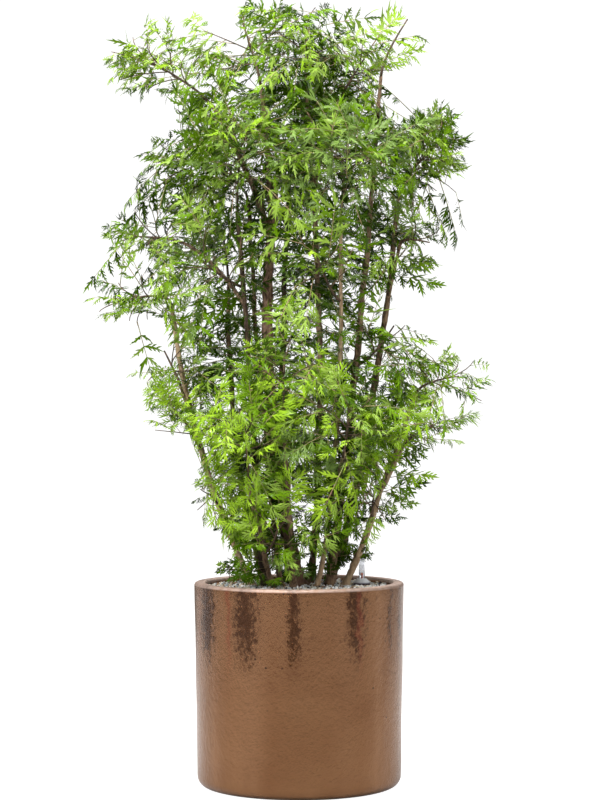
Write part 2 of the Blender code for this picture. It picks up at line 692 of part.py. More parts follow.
def make_masses(limbs, other_objects, collection, cutters, operands, material):
    solid_trees = [surface_tree(evaluated_mesh(obj)) for obj in other_objects]
    limb_trees = {name: surface_tree(limb.mesh("around", LIMB_CLEARANCE)) for name, limb in limbs.items()}
    spaces = {name: Space(name, row[0], row[1]) for name, row in MASSES.items()}
    for space in spaces.values():
        space.find_neighbours(spaces.values())

    # All the masses' stems come first, so that each mass keeps clear of the others' stems.
    stems = {}
    for seed, (name, (_, _, carrier, height, _)) in enumerate(MASSES.items(), STEM_SEED):
        obstacles = solid_trees + [stem.kept_clear for stem in stems.values()]
        obstacles += [tree for limb, tree in limb_trees.items() if limb != carrier]
        rng = random.Random(seed)
        stems[name] = MassStem(spaces[name], limbs.get(carrier), height, obstacles, cutters, rng)

    total = 0
    for seed, (name, (_, _, _, _, count)) in enumerate(MASSES.items(), LEAF_SEED):
        rng = random.Random(seed)
        space, stem = spaces[name], stems[name]
        obstacles = solid_trees + list(limb_trees.values())
        obstacles += [other.kept_clear for other in stems.values() if other is not stem]
        twigs = grow_twigs(space, stem, math.ceil(count / LEAVES_A_TWIG), obstacles, rng)
        leaves = grow_leaves(space, stem, twigs, count, obstacles, rng)
        total += len(leaves)
        pieces = [stem.neck, stem.stalk] + [mesh for _, _, _, mesh in twigs] + leaves
        fuse(name, pieces, collection, operands, material)
    print(len(MASSES), "masses,", total, "leaves")


def main():
    clear_scene()
    plant = make_collection("potted_ming_aralia")
    cutters = make_collection("cutters")
    operands = make_collection("operands")
    glaze = make_material("copper_glaze", (0.30, 0.155, 0.085), 0.22, 0.35)
    pumice = make_material("pumice_grains", (0.62, 0.61, 0.55), 0.9)
    clear = make_material("clear_tube", (0.85, 0.88, 0.90), 0.1, 0.0, 0.35)
    grey = make_material("collar_grey", (0.42, 0.43, 0.48), 0.25)
    red = make_material("float_red", (0.75, 0.16, 0.05), 0.35)
    bark = make_material("bark", (0.26, 0.18, 0.12), 0.8)
    green = make_material("leaf_green", (0.16, 0.34, 0.06), 0.5)

    others = [
        make_pot(plant, glaze),
        make_filling(plant, pumice),
        make_collar(plant, grey),
        make_tube(plant, clear),
        make_float(plant, red),
    ]
    limbs = {name: stem_limb(row) for name, row in STEMS.items()}
    for name in STEMS:
        make_stem(name, limbs[name], plant, bark)
    for name, row in BOUGHS.items():
        limbs[name] = bough_limb(row, limbs)
        make_bough(name, limbs[name], limbs[row[0]], plant, cutters, bark)
    bpy.context.view_layer.update()
    make_masses(limbs, others, plant, cutters, operands, green)


main()
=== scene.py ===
import math
import random

import bmesh
import bpy
import numpy as np
from mathutils import Matrix, Vector, noise


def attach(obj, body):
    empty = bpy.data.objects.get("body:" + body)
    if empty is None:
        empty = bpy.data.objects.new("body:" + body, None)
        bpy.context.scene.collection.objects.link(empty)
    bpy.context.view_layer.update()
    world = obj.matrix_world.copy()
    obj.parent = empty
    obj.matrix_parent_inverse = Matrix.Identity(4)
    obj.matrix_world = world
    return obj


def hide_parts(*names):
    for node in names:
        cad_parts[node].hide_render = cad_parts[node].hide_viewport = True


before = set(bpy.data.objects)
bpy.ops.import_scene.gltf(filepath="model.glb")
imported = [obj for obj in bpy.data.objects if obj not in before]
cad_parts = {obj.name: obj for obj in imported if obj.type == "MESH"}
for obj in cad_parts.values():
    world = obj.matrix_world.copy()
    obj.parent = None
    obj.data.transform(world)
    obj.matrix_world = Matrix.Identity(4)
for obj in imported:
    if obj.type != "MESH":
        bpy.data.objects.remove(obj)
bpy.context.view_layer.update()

up = Vector((0, 0, 1))
goldenAngle = math.pi * (3 - math.sqrt(5))
body = "root"


# Helpers shared by all pieces

def placed(thing):
    bpy.context.scene.collection.objects.link(thing)
    return thing


def newObject(name, mesh, materials, slot, *replaced):
    piece = placed(bpy.data.objects.new(name, mesh))
    for material in materials:
        mesh.materials.append(material)
    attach(piece, body)
    if replaced:
        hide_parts(*replaced)
    return piece


def plainMaterial(name, colour, roughness, **sockets):
    material = bpy.data.materials.new(name)
    material.use_nodes = True
    shader = material.node_tree.nodes["Principled BSDF"]
    shader.inputs["Base Color"].default_value = (*colour, 1)
    shader.inputs["Roughness"].default_value = roughness
    for socket, value in sockets.items():
        shader.inputs[socket.replace("_", " ")].default_value = value
    return material


# short calls for building the nodes of a material or of the world
class Nodes:
    def __init__(self, owner, shader="Principled BSDF", place="Object"):
        self.tree = owner.node_tree
        self.shader = self.tree.nodes[shader]
        self.place = self.tree.nodes.new("ShaderNodeTexCoord").outputs[place]

    def link(self, source, target):
        self.tree.links.new(source, target)

    def mapped(self, scale):
        node = self.tree.nodes.new("ShaderNodeMapping")
        node.inputs["Scale"].default_value = scale
        self.link(self.place, node.inputs["Vector"])
        return node.outputs["Vector"]

    def noise(self, scale, detail=3, rough=0.55, source=None, distortion=0):
        node = self.tree.nodes.new("ShaderNodeTexNoise")
        node.inputs["Scale"].default_value = scale
        node.inputs["Detail"].default_value = detail
        node.inputs["Roughness"].default_value = rough
        node.inputs["Distortion"].default_value = distortion
        self.link(source or self.place, node.inputs["Vector"])
        return node.outputs["Fac"]

    def cells(self, scale, source=None):
        node = self.tree.nodes.new("ShaderNodeTexVoronoi")
        node.inputs["Scale"].default_value = scale
        self.link(source or self.place, node.inputs["Vector"])
        return node.outputs["Distance"]

    def ramp(self, source, stops, ease=False):
        node = self.tree.nodes.new("ShaderNodeValToRGB")
        node.color_ramp.interpolation = "EASE" if ease else "LINEAR"
        elements = node.color_ramp.elements
        for number, (place, colour) in enumerate(stops):
            element = elements[number] if number < 2 else elements.new(place)
            element.position = place
            element.color = (*colour, 1) if isinstance(colour, tuple) else (colour, colour, colour, 1)
        self.link(source, node.inputs["Fac"])
        return node.outputs["Color"]

    def math(self, kind, first, second):
        node = self.tree.nodes.new("ShaderNodeMath")
        node.operation = kind
        for socket, value in zip(node.inputs, (first, second)):
            if isinstance(value, (int, float)):
                socket.default_value = value
            else:
                self.link(value, socket)
        return node.outputs["Value"]

    def times(self, first, second):
        return self.math("MULTIPLY", first, second)

    def plus(self, first, second):
        return self.math("ADD", first, second)

    def minus(self, first, second):
        return self.math("SUBTRACT", first, second)

    def ray(self, kind):
        return self.tree.nodes.new("ShaderNodeLightPath").outputs[f"Is {kind} Ray"]

    def part(self, axis):
        node = self.tree.nodes.new("ShaderNodeSeparateXYZ")
        self.link(self.place, node.inputs["Vector"])
        return node.outputs[axis]

    def mix(self, share, first, second):
        node = self.tree.nodes.new("ShaderNodeMix")
        node.data_type = "RGBA"
        for socket, value in ((0, share), (6, first), (7, second)):
            if isinstance(value, tuple):
                node.inputs[socket].default_value = (*value, 1)
            elif isinstance(value, (int, float)):
                node.inputs[socket].default_value = value
            else:
                self.link(value, node.inputs[socket])
        return node.outputs[2]

    def colour(self, source):
        self.link(source, self.shader.inputs["Base Color"])

    def roughness(self, source, low, high):
        node = self.tree.nodes.new("ShaderNodeMapRange")
        node.inputs["To Min"].default_value = low
        node.inputs["To Max"].default_value = high
        self.link(source, node.inputs["Value"])
        self.link(node.outputs["Result"], self.shader.inputs["Roughness"])

    # bumps add up: a later one takes the earlier one's normal
    def bump(self, height, strength, distance):
        node = self.tree.nodes.new("ShaderNodeBump")
        node.inputs["Strength"].default_value = strength
        node.inputs["Distance"].default_value = distance
        earlier = self.shader.inputs["Normal"].links
        if earlier:
            self.link(earlier[0].from_socket, node.inputs["Normal"])
        self.link(height, node.inputs["Height"])
        self.link(node.outputs["Normal"], self.shader.inputs["Normal"])


# points on an arc from one angle to another, in degrees
def arc(centre, radius, start, end, steps):
    angles = [math.radians(start + (end - start) * i / steps) for i in range(steps + 1)]
    return [(centre[0] + radius * math.cos(a), centre[1] + radius * math.sin(a)) for a in angles]


def meshFrom(name, bm, smooth=False):
    for face in bm.faces:
        face.smooth = smooth
    mesh = bpy.data.meshes.new(name)
    bm.to_mesh(mesh)
    bm.free()
    return mesh


# a closed profile from axis to axis, spun all the way round
def turned(name, profile, place, sides, smooth=True):
    bm = bmesh.new()
    points = [bm.verts.new((radius, 0, height)) for radius, height in profile]
    line = [bm.edges.new(pair) for pair in zip(points, points[1:])]
    bmesh.ops.spin(bm, geom=points + line, cent=(0, 0, 0), axis=(0, 0, 1), angle=math.tau,
                   steps=sides, use_merge=True)
    bmesh.ops.remove_doubles(bm, verts=bm.verts, dist=1e-5)
    bmesh.ops.translate(bm, verts=bm.verts, vec=(*place, 0))
    bmesh.ops.recalc_face_normals(bm, faces=bm.faces)
    return meshFrom(name, bm, smooth)


# one joined mesh from numpy arrays of points, triangles and material numbers
def meshFromArrays(name, points, triangles, tints=None):
    mesh = bpy.data.meshes.new(name)
    mesh.vertices.add(len(points))
    mesh.vertices.foreach_set("co", np.ascontiguousarray(points, np.float32).ravel())
    mesh.loops.add(triangles.size)
    mesh.loops.foreach_set("vertex_index", np.ascontiguousarray(triangles, np.int32).ravel())
    mesh.polygons.add(len(triangles))
    mesh.polygons.foreach_set("loop_start", np.arange(0, triangles.size, 3, dtype=np.int32))
    if tints is not None:
        mesh.polygons.foreach_set("material_index", np.ascontiguousarray(tints, np.int32))
    mesh.update(calc_edges=True)
    return mesh


def arraysFromShape(bm):
    bmesh.ops.triangulate(bm, faces=bm.faces)
    bm.verts.index_update()
    points = np.array([v.co[:] for v in bm.verts])
    triangles = np.array([[v.index for v in face.verts] for face in bm.faces])
    bm.free()
    return points, triangles


# copies of one small shape: a 3 x 3 turn with its size, and a place, for each
def copies(points, triangles, turns, places):
    every = np.einsum("nij,vj->nvi", turns, points) + places[:, None, :]
    offsets = (np.arange(len(places)) * len(points))[:, None, None]
    return every.reshape(-1, 3), (triangles[None] + offsets).reshape(-1, 3)


# joins (points, triangles) pairs end to end
def joined(parts):
    offset, points, triangles = 0, [], []
    for p, t in parts:
        points.append(p)
        triangles.append(t + offset)
        offset += len(p)
    return np.concatenate(points), np.concatenate(triangles)


# Pot: glazed, with a pale rounded rim

pot = {
    "height": 0.417, "topRadius": 0.215, "footRadius": 0.209, "rimWidth": 0.024, "rimEdge": 0.006,
    "footEdge": 0.022, "wallAtFloor": 0.019, "floor": 0.024, "sides": 160, "rows": 24,
    "uneven": 0.0009, "evenWithin": 0.15, "evenBelow": 0.03,
    "brown": (0.226, 0.099, 0.040), "paleBrown": (0.290, 0.140, 0.062), "darkBrown": (0.052, 0.018, 0.006),
    "paleEdge": (0.52, 0.39, 0.33), "highlightColour": (0.37, 0.195, 0.100), "reddish": (0.26, 0.055, 0.028),
    "ruddy": (0.11, 0.040, 0.018), "pit": (0.03, 0.016, 0.012),
    # marks down the glaze: place round the pot (0.5 faces the front), half-width, strength
    # dark runs from the rim: partly the glaze's own runs, partly painted reflection of dark surroundings
    "runsAndDarkReflections": (
        (0.07, 0.024, 0.8), (0.21, 0.026, 0.8), (0.335, 0.030, 0.95), (0.417, 0.030, 1.0),
        (0.4925, 0.014, 0.95), (0.588, 0.026, 0.75), (0.664, 0.010, 0.5), (0.700, 0.012, 0.5),
        (0.77, 0.026, 0.9), (0.90, 0.022, 0.8),
    ),
    "redRuns": (
        (0.120, 0.004, 0.75), (0.306, 0.003, 0.75), (0.386, 0.005, 0.75), (0.596, 0.004, 0.75),
        (0.830, 0.004, 0.75),
    ),
    # pale bands: painted highlights
    "highlightBands": (
        (0.150, 0.030, 0.7), (0.353, 0.016, 0.5), (0.425, 0.036, 0.8), (0.570, 0.030, 0.4),
        (0.633, 0.014, 0.5), (0.850, 0.030, 0.7),
    ),
}
fillTop = 0.405
fitGap = 0.0003
ground = fillTop + fitGap


def innerRadius(height):
    rim, floor = pot["topRadius"] - pot["rimWidth"], pot["footRadius"] - pot["wallAtFloor"]
    return floor + (rim - floor) * (height - pot["floor"]) / (pot["height"] - pot["floor"])


# a colour ramp's stops for marks that come and go round the pot
def marks(places):
    return [stop for place, half, depth in places
            for stop in ((place - half, 0.0), (place, depth), (place + half, 0.0))]


# copper brown in clouds, with painted highlight bands and a painted paler upper part, dark crumbly runs
# from the rim that are partly the glaze's own and partly painted reflection, and a worn pale edge
def glazeMaterial():
    material = plainMaterial("copperGlaze", pot["brown"], 0.3, Metallic=0.75, Specular_IOR_Level=0.5,
                             Coat_Weight=0.06, Coat_Roughness=0.08)
    n = Nodes(material)
    height = n.part("Z")
    turn = n.math("ARCTAN2", n.part("X"), n.times(n.part("Y"), -1.0))
    turn = n.plus(n.times(turn, 1 / math.tau), 0.5)
    crumbs = n.noise(1.0, 4, 0.7, n.mapped((150, 150, 100)))
    turn = n.plus(turn, n.times(n.minus(n.noise(30, 4, 0.65), 0.5), 0.030))
    fade = n.ramp(n.times(height, 2.4), [(0.52, 0.0), (0.84, 1.0)], True)
    # the runs' mask: partly the glaze's own runs, partly painted reflection of dark surroundings
    zone = n.times(n.ramp(turn, marks(pot["runsAndDarkReflections"])), fade)
    rough = n.times(n.minus(crumbs, 0.5), 4.6)
    dark = n.ramp(n.plus(n.times(zone, 1.5), rough), [(0.30, 0.0), (1.20, 0.85)])
    dark = n.times(dark, n.ramp(zone, [(0.03, 0.0), (0.25, 1.0)]))
    clouds = n.noise(9, 4, 0.6)
    tall = n.noise(1.0, 3, 0.6, n.mapped((20, 20, 1.2)))
    colour = n.mix(n.ramp(clouds, [(0.32, 0.0), (0.72, 1.0)]), pot["brown"], pot["paleBrown"])
    colour = n.mix(n.ramp(tall, [(0.40, 0.0), (0.70, 0.45)]), colour, pot["paleBrown"])
    # painted highlights: pale bands round the pot, with painted light making the upper part paler
    highlightMask = n.times(n.ramp(turn, marks(pot["highlightBands"])), n.ramp(tall, [(0.30, 0.5), (0.60, 1.0)]))
    highlightMask = n.plus(n.times(highlightMask, 0.55), n.ramp(height, [(0.18, 0.0), (0.40, 0.30)]))
    colour = n.mix(highlightMask, colour, pot["highlightColour"])
    # ruddy and dark brown in the runs, and dark flecks high on the pot: partly glaze colour, partly
    # painted reflection broken up by the hammering
    colour = n.mix(n.times(zone, 0.45), colour, pot["ruddy"])
    colour = n.mix(dark, colour, pot["darkBrown"])
    flecks = n.times(n.ramp(crumbs, [(0.60, 0.0), (0.68, 0.7)]), fade)
    colour = n.mix(flecks, colour, pot["darkBrown"])
    red = n.ramp(turn, marks(pot["redRuns"]))
    colour = n.mix(n.times(red, fade), colour, pot["reddish"])
    pits = n.ramp(n.cells(26), [(0.045, 1.0), (0.07, 0.0)])
    colour = n.mix(pits, colour, pot["pit"])
    rim = n.ramp(n.times(n.minus(height, 0.400), 50), [(0.52, 0.0), (0.62, 1.0)])
    worn = n.ramp(n.noise(70, 4, 0.7), [(0.28, 0.35), (0.62, 0.95)])
    n.colour(n.mix(n.times(rim, worn), colour, pot["paleEdge"]))
    n.roughness(n.plus(n.times(clouds, 0.33), n.times(rim, 0.9)), 0.12, 0.62)
    pebbles = n.times(crumbs, n.plus(n.times(zone, 0.75), 0.55))
    n.bump(pebbles, 0.8, 0.0034)
    n.bump(n.noise(38, 3, 0.5), 0.3, 0.003)
    return material


def makePot():
    rim = pot["height"] - pot["rimEdge"]
    profile = [(0, pot["floor"]), (innerRadius(pot["floor"]), pot["floor"])]
    profile += arc((innerRadius(rim) + pot["rimEdge"], rim), pot["rimEdge"], 180, 90, 6)
    profile += arc((pot["topRadius"] - pot["rimEdge"], rim), pot["rimEdge"], 90, 0, 6)
    for i in range(1, pot["rows"]):
        share = i / pot["rows"]
        profile.append((pot["topRadius"] + (pot["footRadius"] - pot["topRadius"]) * share,
                        rim + (pot["footEdge"] - rim) * share))
    profile += arc((pot["footRadius"] - pot["footEdge"], pot["footEdge"]), pot["footEdge"], 0, -90, 8)
    profile.append((0, 0))
    mesh = turned("glazedPot", profile, (0, 0), pot["sides"])
    for vert in mesh.vertices:  # hand-glazed walls are never quite even
        flat = Vector((vert.co.x, vert.co.y, 0))
        if flat.length > pot["evenWithin"] and vert.co.z > pot["evenBelow"]:
            vert.co += flat.normalized() * pot["uneven"] * noise.noise(vert.co * 11)
    newObject("glazedPot", mesh, [glazeMaterial()], "copper_glaze", "pot")


makePot()
print("pot made")

# the water gauge's sizes stand here, because the grains lie lower round it
gauge = {
    "place": (0.1297, 0.045), "edge": 0.0006, "collarRadius": 0.018, "collarHeight": 0.015,
    "collarTop": 0.010, "slope": 0.007, "tubeRadius": 0.0062, "tubeWall": 0.0012, "tubeHeight": 0.052,
    "tubeEdge": 0.0008, "floatRadius": 0.0028, "floatHeight": 0.012, "floatEdge": 0.0012,
}

# Filling: a bed coloured dark as painted shade between the grains, with loose pumice grains on it, lower
# round the gauge

grains = {
    "shapes": 7, "corners": 13, "stretch": (1.15, 0.95, 0.8), "size": (0.0026, 0.0046),
    "spacing": 0.0066, "rowStep": 0.866, "jitter": 0.3, "heightJitter": 0.0008,
    "bedDrop": 0.003, "sink": 0.0012, "layer": 0.0036, "second": 0.40, "gaugeClear": 0.045,
    "tints": {"grainWhite": ((0.90, 0.89, 0.86), 5), "grainCream": ((0.76, 0.66, 0.50), 4),
              "grainGrey": ((0.44, 0.48, 0.50), 3), "grainBrown": ((0.30, 0.19, 0.11), 2),
              "grainDark": ((0.05, 0.04, 0.035), 2)},
}


def grainMaterial(name, colour):
    material = plainMaterial(name, colour, 0.9)
    n = Nodes(material)
    dark = tuple(c * 0.62 for c in colour)
    n.colour(n.mix(n.ramp(n.noise(420, 3, 0.7), [(0.35, 0.0), (0.60, 1.0)]), dark, colour))
    n.bump(n.noise(900, 3, 0.7), 0.5, 0.0006)
    return material


def grainShape(rng):
    bm = bmesh.new()
    for _ in range(grains["corners"]):
        direction = Vector([rng.gauss(0, 1) for _ in range(3)]).normalized()
        bm.verts.new([part * stretch for part, stretch in zip(direction, grains["stretch"])])
    bmesh.ops.convex_hull(bm, input=bm.verts)
    loose = [v for v in bm.verts if not v.link_faces]
    bmesh.ops.delete(bm, geom=loose, context="VERTS")
    bmesh.ops.recalc_face_normals(bm, faces=bm.faces)
    return arraysFromShape(bm)


def makeFilling():
    low = pot["floor"] + fitGap
    outer = innerRadius(fillTop) - fitGap
    top = fillTop - grains["bedDrop"]
    profile = [(0, top), (outer * 0.5, top), (outer, top), (innerRadius(low) - fitGap, low), (0, low)]
    # painted shade: the bed is dark so that the gaps between the grains read as shade
    bed = grainMaterial("grainBedShade", (0.07, 0.055, 0.04))
    newObject("pumiceBed", turned("pumiceBed", profile, (0, 0), 96), [bed], "pumice", "filling")

    rng = random.Random(11)
    shapes = [grainShape(rng) for _ in range(grains["shapes"])]
    tintNames = list(grains["tints"])
    weights = [share for _, share in grains["tints"].values()]
    spacing, rowStep, jitter = grains["spacing"], grains["rowStep"], grains["jitter"]
    reach = outer - grains["bedDrop"]
    chosen = [[] for _ in shapes]
    rows = int(reach / (spacing * rowStep)) + 1
    for row in range(-rows, rows + 1):
        for column in range(-rows - 4, rows + 5):
            x = (column + row % 2 / 2) * spacing + rng.uniform(-jitter, jitter) * spacing
            y = row * spacing * rowStep + rng.uniform(-jitter, jitter) * spacing
            if math.hypot(x, y) > reach:
                continue
            nearGauge = math.dist((x, y), gauge["place"]) < grains["gaugeClear"]
            layers = 2 if rng.random() < grains["second"] and not nearGauge else 1
            for layer in range(layers):
                size = rng.uniform(*grains["size"])
                z = fillTop - grains["sink"] + layer * grains["layer"]
                z += rng.uniform(-grains["heightJitter"], grains["heightJitter"])
                shape = chosen[rng.randrange(len(shapes))]
                shape.append((x, y, z, size, rng.choices(range(len(tintNames)), weights)[0]))
    parts, tints = [], []
    for (points, triangles), rows in zip(shapes, chosen):  # each grain lies turned its own way
        turns = []
        for _, _, _, size, _ in rows:
            spin = Matrix.Rotation(rng.uniform(0, math.tau), 3, "Z")
            spin = spin @ Matrix.Rotation(rng.gauss(0, 0.5), 3, "X")
            turns.append(np.array(spin @ Matrix.Rotation(rng.uniform(0, math.tau), 3, "Y")) * size)
        parts.append(copies(points, triangles, np.array(turns), np.array([row[:3] for row in rows])))
        tints.append(np.repeat([row[4] for row in rows], len(triangles)))
    points, triangles = joined(parts)
    mesh = meshFromArrays("pumiceGrains", points, triangles, np.concatenate(tints))
    materials = [grainMaterial(name, grains["tints"][name][0]) for name in tintNames]
    newObject("pumiceGrains", mesh, materials, "pumice")
    print("filling made,", len(triangles), "triangles of grains")


makeFilling()


# Water gauge: collar, clear tube and float

# dark at the foot, pale at the top
def collarMaterial():
    material = plainMaterial("gaugeCollar", (0.45, 0.46, 0.50), 0.2, Coat_Weight=0.4)
    n = Nodes(material)
    rise = n.times(n.minus(n.part("Z"), ground), 1 / gauge["collarHeight"])
    stops = [(0.0, (0.035, 0.022, 0.026)), (0.30, (0.06, 0.045, 0.055)), (0.40, (0.28, 0.28, 0.33)),
             (0.52, (0.70, 0.72, 0.76)), (1.0, (0.88, 0.90, 0.92))]
    n.colour(n.ramp(rise, stops))
    n.roughness(n.noise(120, 2), 0.12, 0.3)
    return material


def makeGauge():
    place, edge = gauge["place"], gauge["edge"]
    r, top = gauge["collarRadius"], ground + gauge["collarHeight"]
    shoulder = top - gauge["slope"]
    profile = [(0, top), (gauge["collarTop"] - edge, top), (gauge["collarTop"], top - edge)]
    profile += [(r - 0.002, shoulder + 2 * edge), (r, shoulder - edge)]
    # a groove round the side, and a small edge at the foot
    profile += [(r, ground + 0.0046), (r - 0.0007, ground + 0.0042), (r - 0.0007, ground + 0.0034)]
    profile += [(r, ground + 0.0030), (r, ground + 0.0004), (r - 0.0004, ground), (0, ground)]
    mesh = turned("gaugeCollar", profile, place, 64, False)
    newObject("gaugeCollar", mesh, [collarMaterial()], "gauge_collar", "gauge_collar")

    foot = ground + gauge["collarHeight"] + fitGap
    clear = plainMaterial("clearTube", (0.80, 0.81, 0.83), 0.06, Transmission_Weight=0.82, IOR=1.14)
    n = Nodes(clear)
    n.bump(n.noise(30, 2), 0.05, 0.001)
    outer, bore, edge = gauge["tubeRadius"], gauge["tubeRadius"] - gauge["tubeWall"], gauge["tubeEdge"]
    top = foot + gauge["tubeHeight"]
    middle, roof = foot + 0.03, top - gauge["tubeWall"]
    profile = [(0, top), (outer - edge, top), (outer, top - edge), (outer, middle), (outer, foot)]
    profile += [(bore, foot), (bore, middle), (bore, roof), (0, roof)]
    mesh = turned("gaugeTube", profile, place, 48)
    newObject("gaugeTube", mesh, [clear], "clear_tube", "gauge_tube")

    red = plainMaterial("floatRed", (0.72, 0.13, 0.03), 0.35)
    n = Nodes(red)
    mottle = n.ramp(n.noise(90, 2), [(0.4, 0.0), (0.7, 1.0)])
    n.colour(n.mix(mottle, (0.76, 0.15, 0.03), (0.60, 0.09, 0.03)))
    r, top, edge = gauge["floatRadius"], foot + gauge["floatHeight"], gauge["floatEdge"]
    profile = [(0, top)] + arc((r - edge, top - edge), edge, 90, 0, 4)
    profile += [(r, foot + 0.006), (r - 0.0004, foot + 0.0056)]  # a shallow groove
    profile += [(r - 0.0004, foot + 0.005), (r, foot + 0.0046), (r, foot), (0, foot)]
    mesh = turned("gaugeFloat", profile, place, 32)
    newObject("gaugeFloat", mesh, [red], "gauge_float", "gauge_float")


makeGauge()
print("gauge made")

# Stems and boughs, with the bark's relief

# foot (x, y), knee, tip, radius above the flare, radius at the tip, bark
stems = {
    "stem_left": (
        (-0.098, 0.02), (-0.205, 0.005, 0.7), (-0.262, -0.01, 0.985), 0.0072, 0.0042, "tan"),
    "stem_left_inner": (
        (-0.072, -0.005), (-0.099, -0.015, 0.8), (-0.125, -0.045, 1.17), 0.007, 0.0045, "dark"),
    "stem_slim": (
        (-0.038, 0.012), (-0.079, 0.04, 0.82), (-0.105, 0.045, 1.2), 0.0055, 0.0038, "brown"),
    "trunk": (
        (0.0, 0.025), (-0.06, 0.01, 0.8), (-0.05, 0.01, 1.24), 0.015, 0.0085, "rosy"),
    "stem_middle": (
        (0.024, 0.062), (0.042, 0.045, 0.86), (0.015, 0.01, 1.425), 0.0072, 0.0042, "brown"),
    "stem_pale": (
        (0.036, -0.01), (0.076, -0.025, 0.72), (0.085, -0.06, 1.15), 0.005, 0.0036, "tan"),
    "stem_right_inner": (
        (0.062, 0.03), (0.116, 0.015, 0.86), (0.168, 0.0, 1.455), 0.009, 0.0036, "brown"),
    "stem_right": (
        (0.062, 0.075), (0.142, 0.08, 0.72), (0.205, 0.05, 1.2), 0.009, 0.0048, "brown"),
    "stem_right_outer": (
        (0.094, 0.018), (0.163, -0.005, 0.585), (0.236, -0.025, 0.8), 0.0068, 0.004, "tan"),
    "stem_back": (
        (-0.02, 0.08), (-0.035, 0.12, 0.78), (-0.02, 0.125, 1.27), 0.0078, 0.0045, "dark"),
    "stem_back_left": (
        (-0.07, 0.062), (-0.13, 0.115, 0.68), (-0.15, 0.15, 1.03), 0.007, 0.0042, "brown"),
    "stem_front": (
        (-0.01, -0.025), (-0.02, -0.085, 0.56), (-0.03, -0.12, 0.745), 0.0066, 0.004, "brown"),
    "stem_front_left": (
        (-0.052, -0.032), (-0.082, -0.085, 0.52), (-0.1, -0.12, 0.63), 0.0062, 0.004, "brown"),
}

# the stem it leaves, height there, tip, radius at the foot, radius at the tip, bark
boughs = {
    "bough_top_left": (
        "trunk", 1.12, (-0.185, -0.01, 1.4), 0.0066, 0.0042, "brown"),
    "bough_top_middle": (
        "trunk", 1.15, (-0.078, -0.045, 1.43), 0.0056, 0.0038, "brown"),
    "bough_top_right": (
        "stem_middle", 1.215, (0.082, -0.005, 1.405), 0.0048, 0.0034, "brown"),
    "bough_right": (
        "stem_right", 1.0, (0.208, 0.005, 1.112), 0.0042, 0.003, "brown"),
    "bough_left": (
        "stem_left_inner", 0.985, (-0.236, 0.0, 1.112), 0.0042, 0.003, "brown"),
    "bough_low_left": (
        "stem_left", 0.725, (-0.242, -0.035, 0.82), 0.004, 0.003, "tan"),
    "bough_low_right": (
        "stem_right_outer", 0.61, (0.214, -0.05, 0.7), 0.004, 0.003, "tan"),
    "bough_front_right": (
        "stem_pale", 0.56, (0.088, -0.085, 0.675), 0.004, 0.003, "tan"),
}

bark = {
    "flare": 0.42, "flareHeight": 0.020, "runDown": 0.006, "arch": 0.10, "roundness": 6, "step": 0.005,
    "ridges": 0.20, "scars": 0.48, "scarRim": 0.22, "lumps": 0.10, "wander": 0.0022,
    # pale and dark colour of each kind
    "tan": ((0.50, 0.36, 0.22), (0.28, 0.18, 0.105)),
    "rosy": ((0.33, 0.20, 0.13), (0.09, 0.048, 0.030)),
    "brown": ((0.31, 0.20, 0.12), (0.075, 0.044, 0.026)),
    "dark": ((0.13, 0.080, 0.048), (0.034, 0.020, 0.013)),
    "twig": ((0.130, 0.080, 0.045), (0.032, 0.019, 0.012)),
}
# painted shade at the stems' feet: how far the bark darkens to its furrows at the foot, and the height at
# which it no longer does
barkFootShade = {"tan": (0.10, 0.50), "rosy": (0.78, 0.70), "brown": (0.42, 0.58), "dark": (0.80, 0.64),
            "twig": (0.0, 0.50)}


# pale and dark bark in furrows, with painted shade darker towards the grains
def barkMaterial(name):
    pale, dark = bark[name]
    material = plainMaterial("bark" + name.capitalize(), pale, 0.85)
    n = Nodes(material)
    lines = n.mapped((190, 190, 60))
    furrows = n.noise(1.0, 5, 0.65, lines, 0.5)
    patches = n.noise(28, 4, 0.6)
    colour = n.mix(n.ramp(furrows, [(0.42, 0.0), (0.56, 1.0)]), dark, pale)
    grey = tuple(0.5 * (c + d) for c, d in zip(pale, (0.25, 0.19, 0.125)))
    colour = n.mix(n.ramp(patches, [(0.46, 0.0), (0.70, 0.75)]), colour, grey)
    pores = n.ramp(n.cells(1.0, n.mapped((170, 170, 420))), [(0.10, 1.0), (0.22, 0.0)])
    colour = n.mix(n.times(pores, 0.6), colour, dark)
    # painted shade: the bark darkens towards the grains, where the stems stand in shade
    depth, height = barkFootShade[name]
    n.colour(n.mix(n.ramp(n.part("Z"), [(0.42, depth), (height, 0.0)]), colour, dark))
    n.roughness(furrows, 0.95, 0.7)
    n.bump(furrows, 0.6, 0.0012)
    n.bump(n.noise(700, 3, 0.7), 0.3, 0.0004)
    return material


# a point on the quadratic curve between two ends that a control point draws aside
def onCurve(first, control, last, t):
    return first * (1 - t) ** 2 + control * 2 * t * (1 - t) + last * t * t


# points on such a curve that passes middle half way; a start below 0 runs on behind first
def through(first, middle, last, count, start=0.0):
    control = 2 * middle - (first + last) / 2
    return [onCurve(first, control, last, start + (1 - start) * i / (count - 1)) for i in range(count)]


# the point of a limb's axis at a height, and the way it rises there
def atHeight(points, height):
    for low, high in zip(points, points[1:]):
        if low.z <= height <= high.z:
            return low.lerp(high, (height - low.z) / (high.z - low.z)), (high - low).normalized()


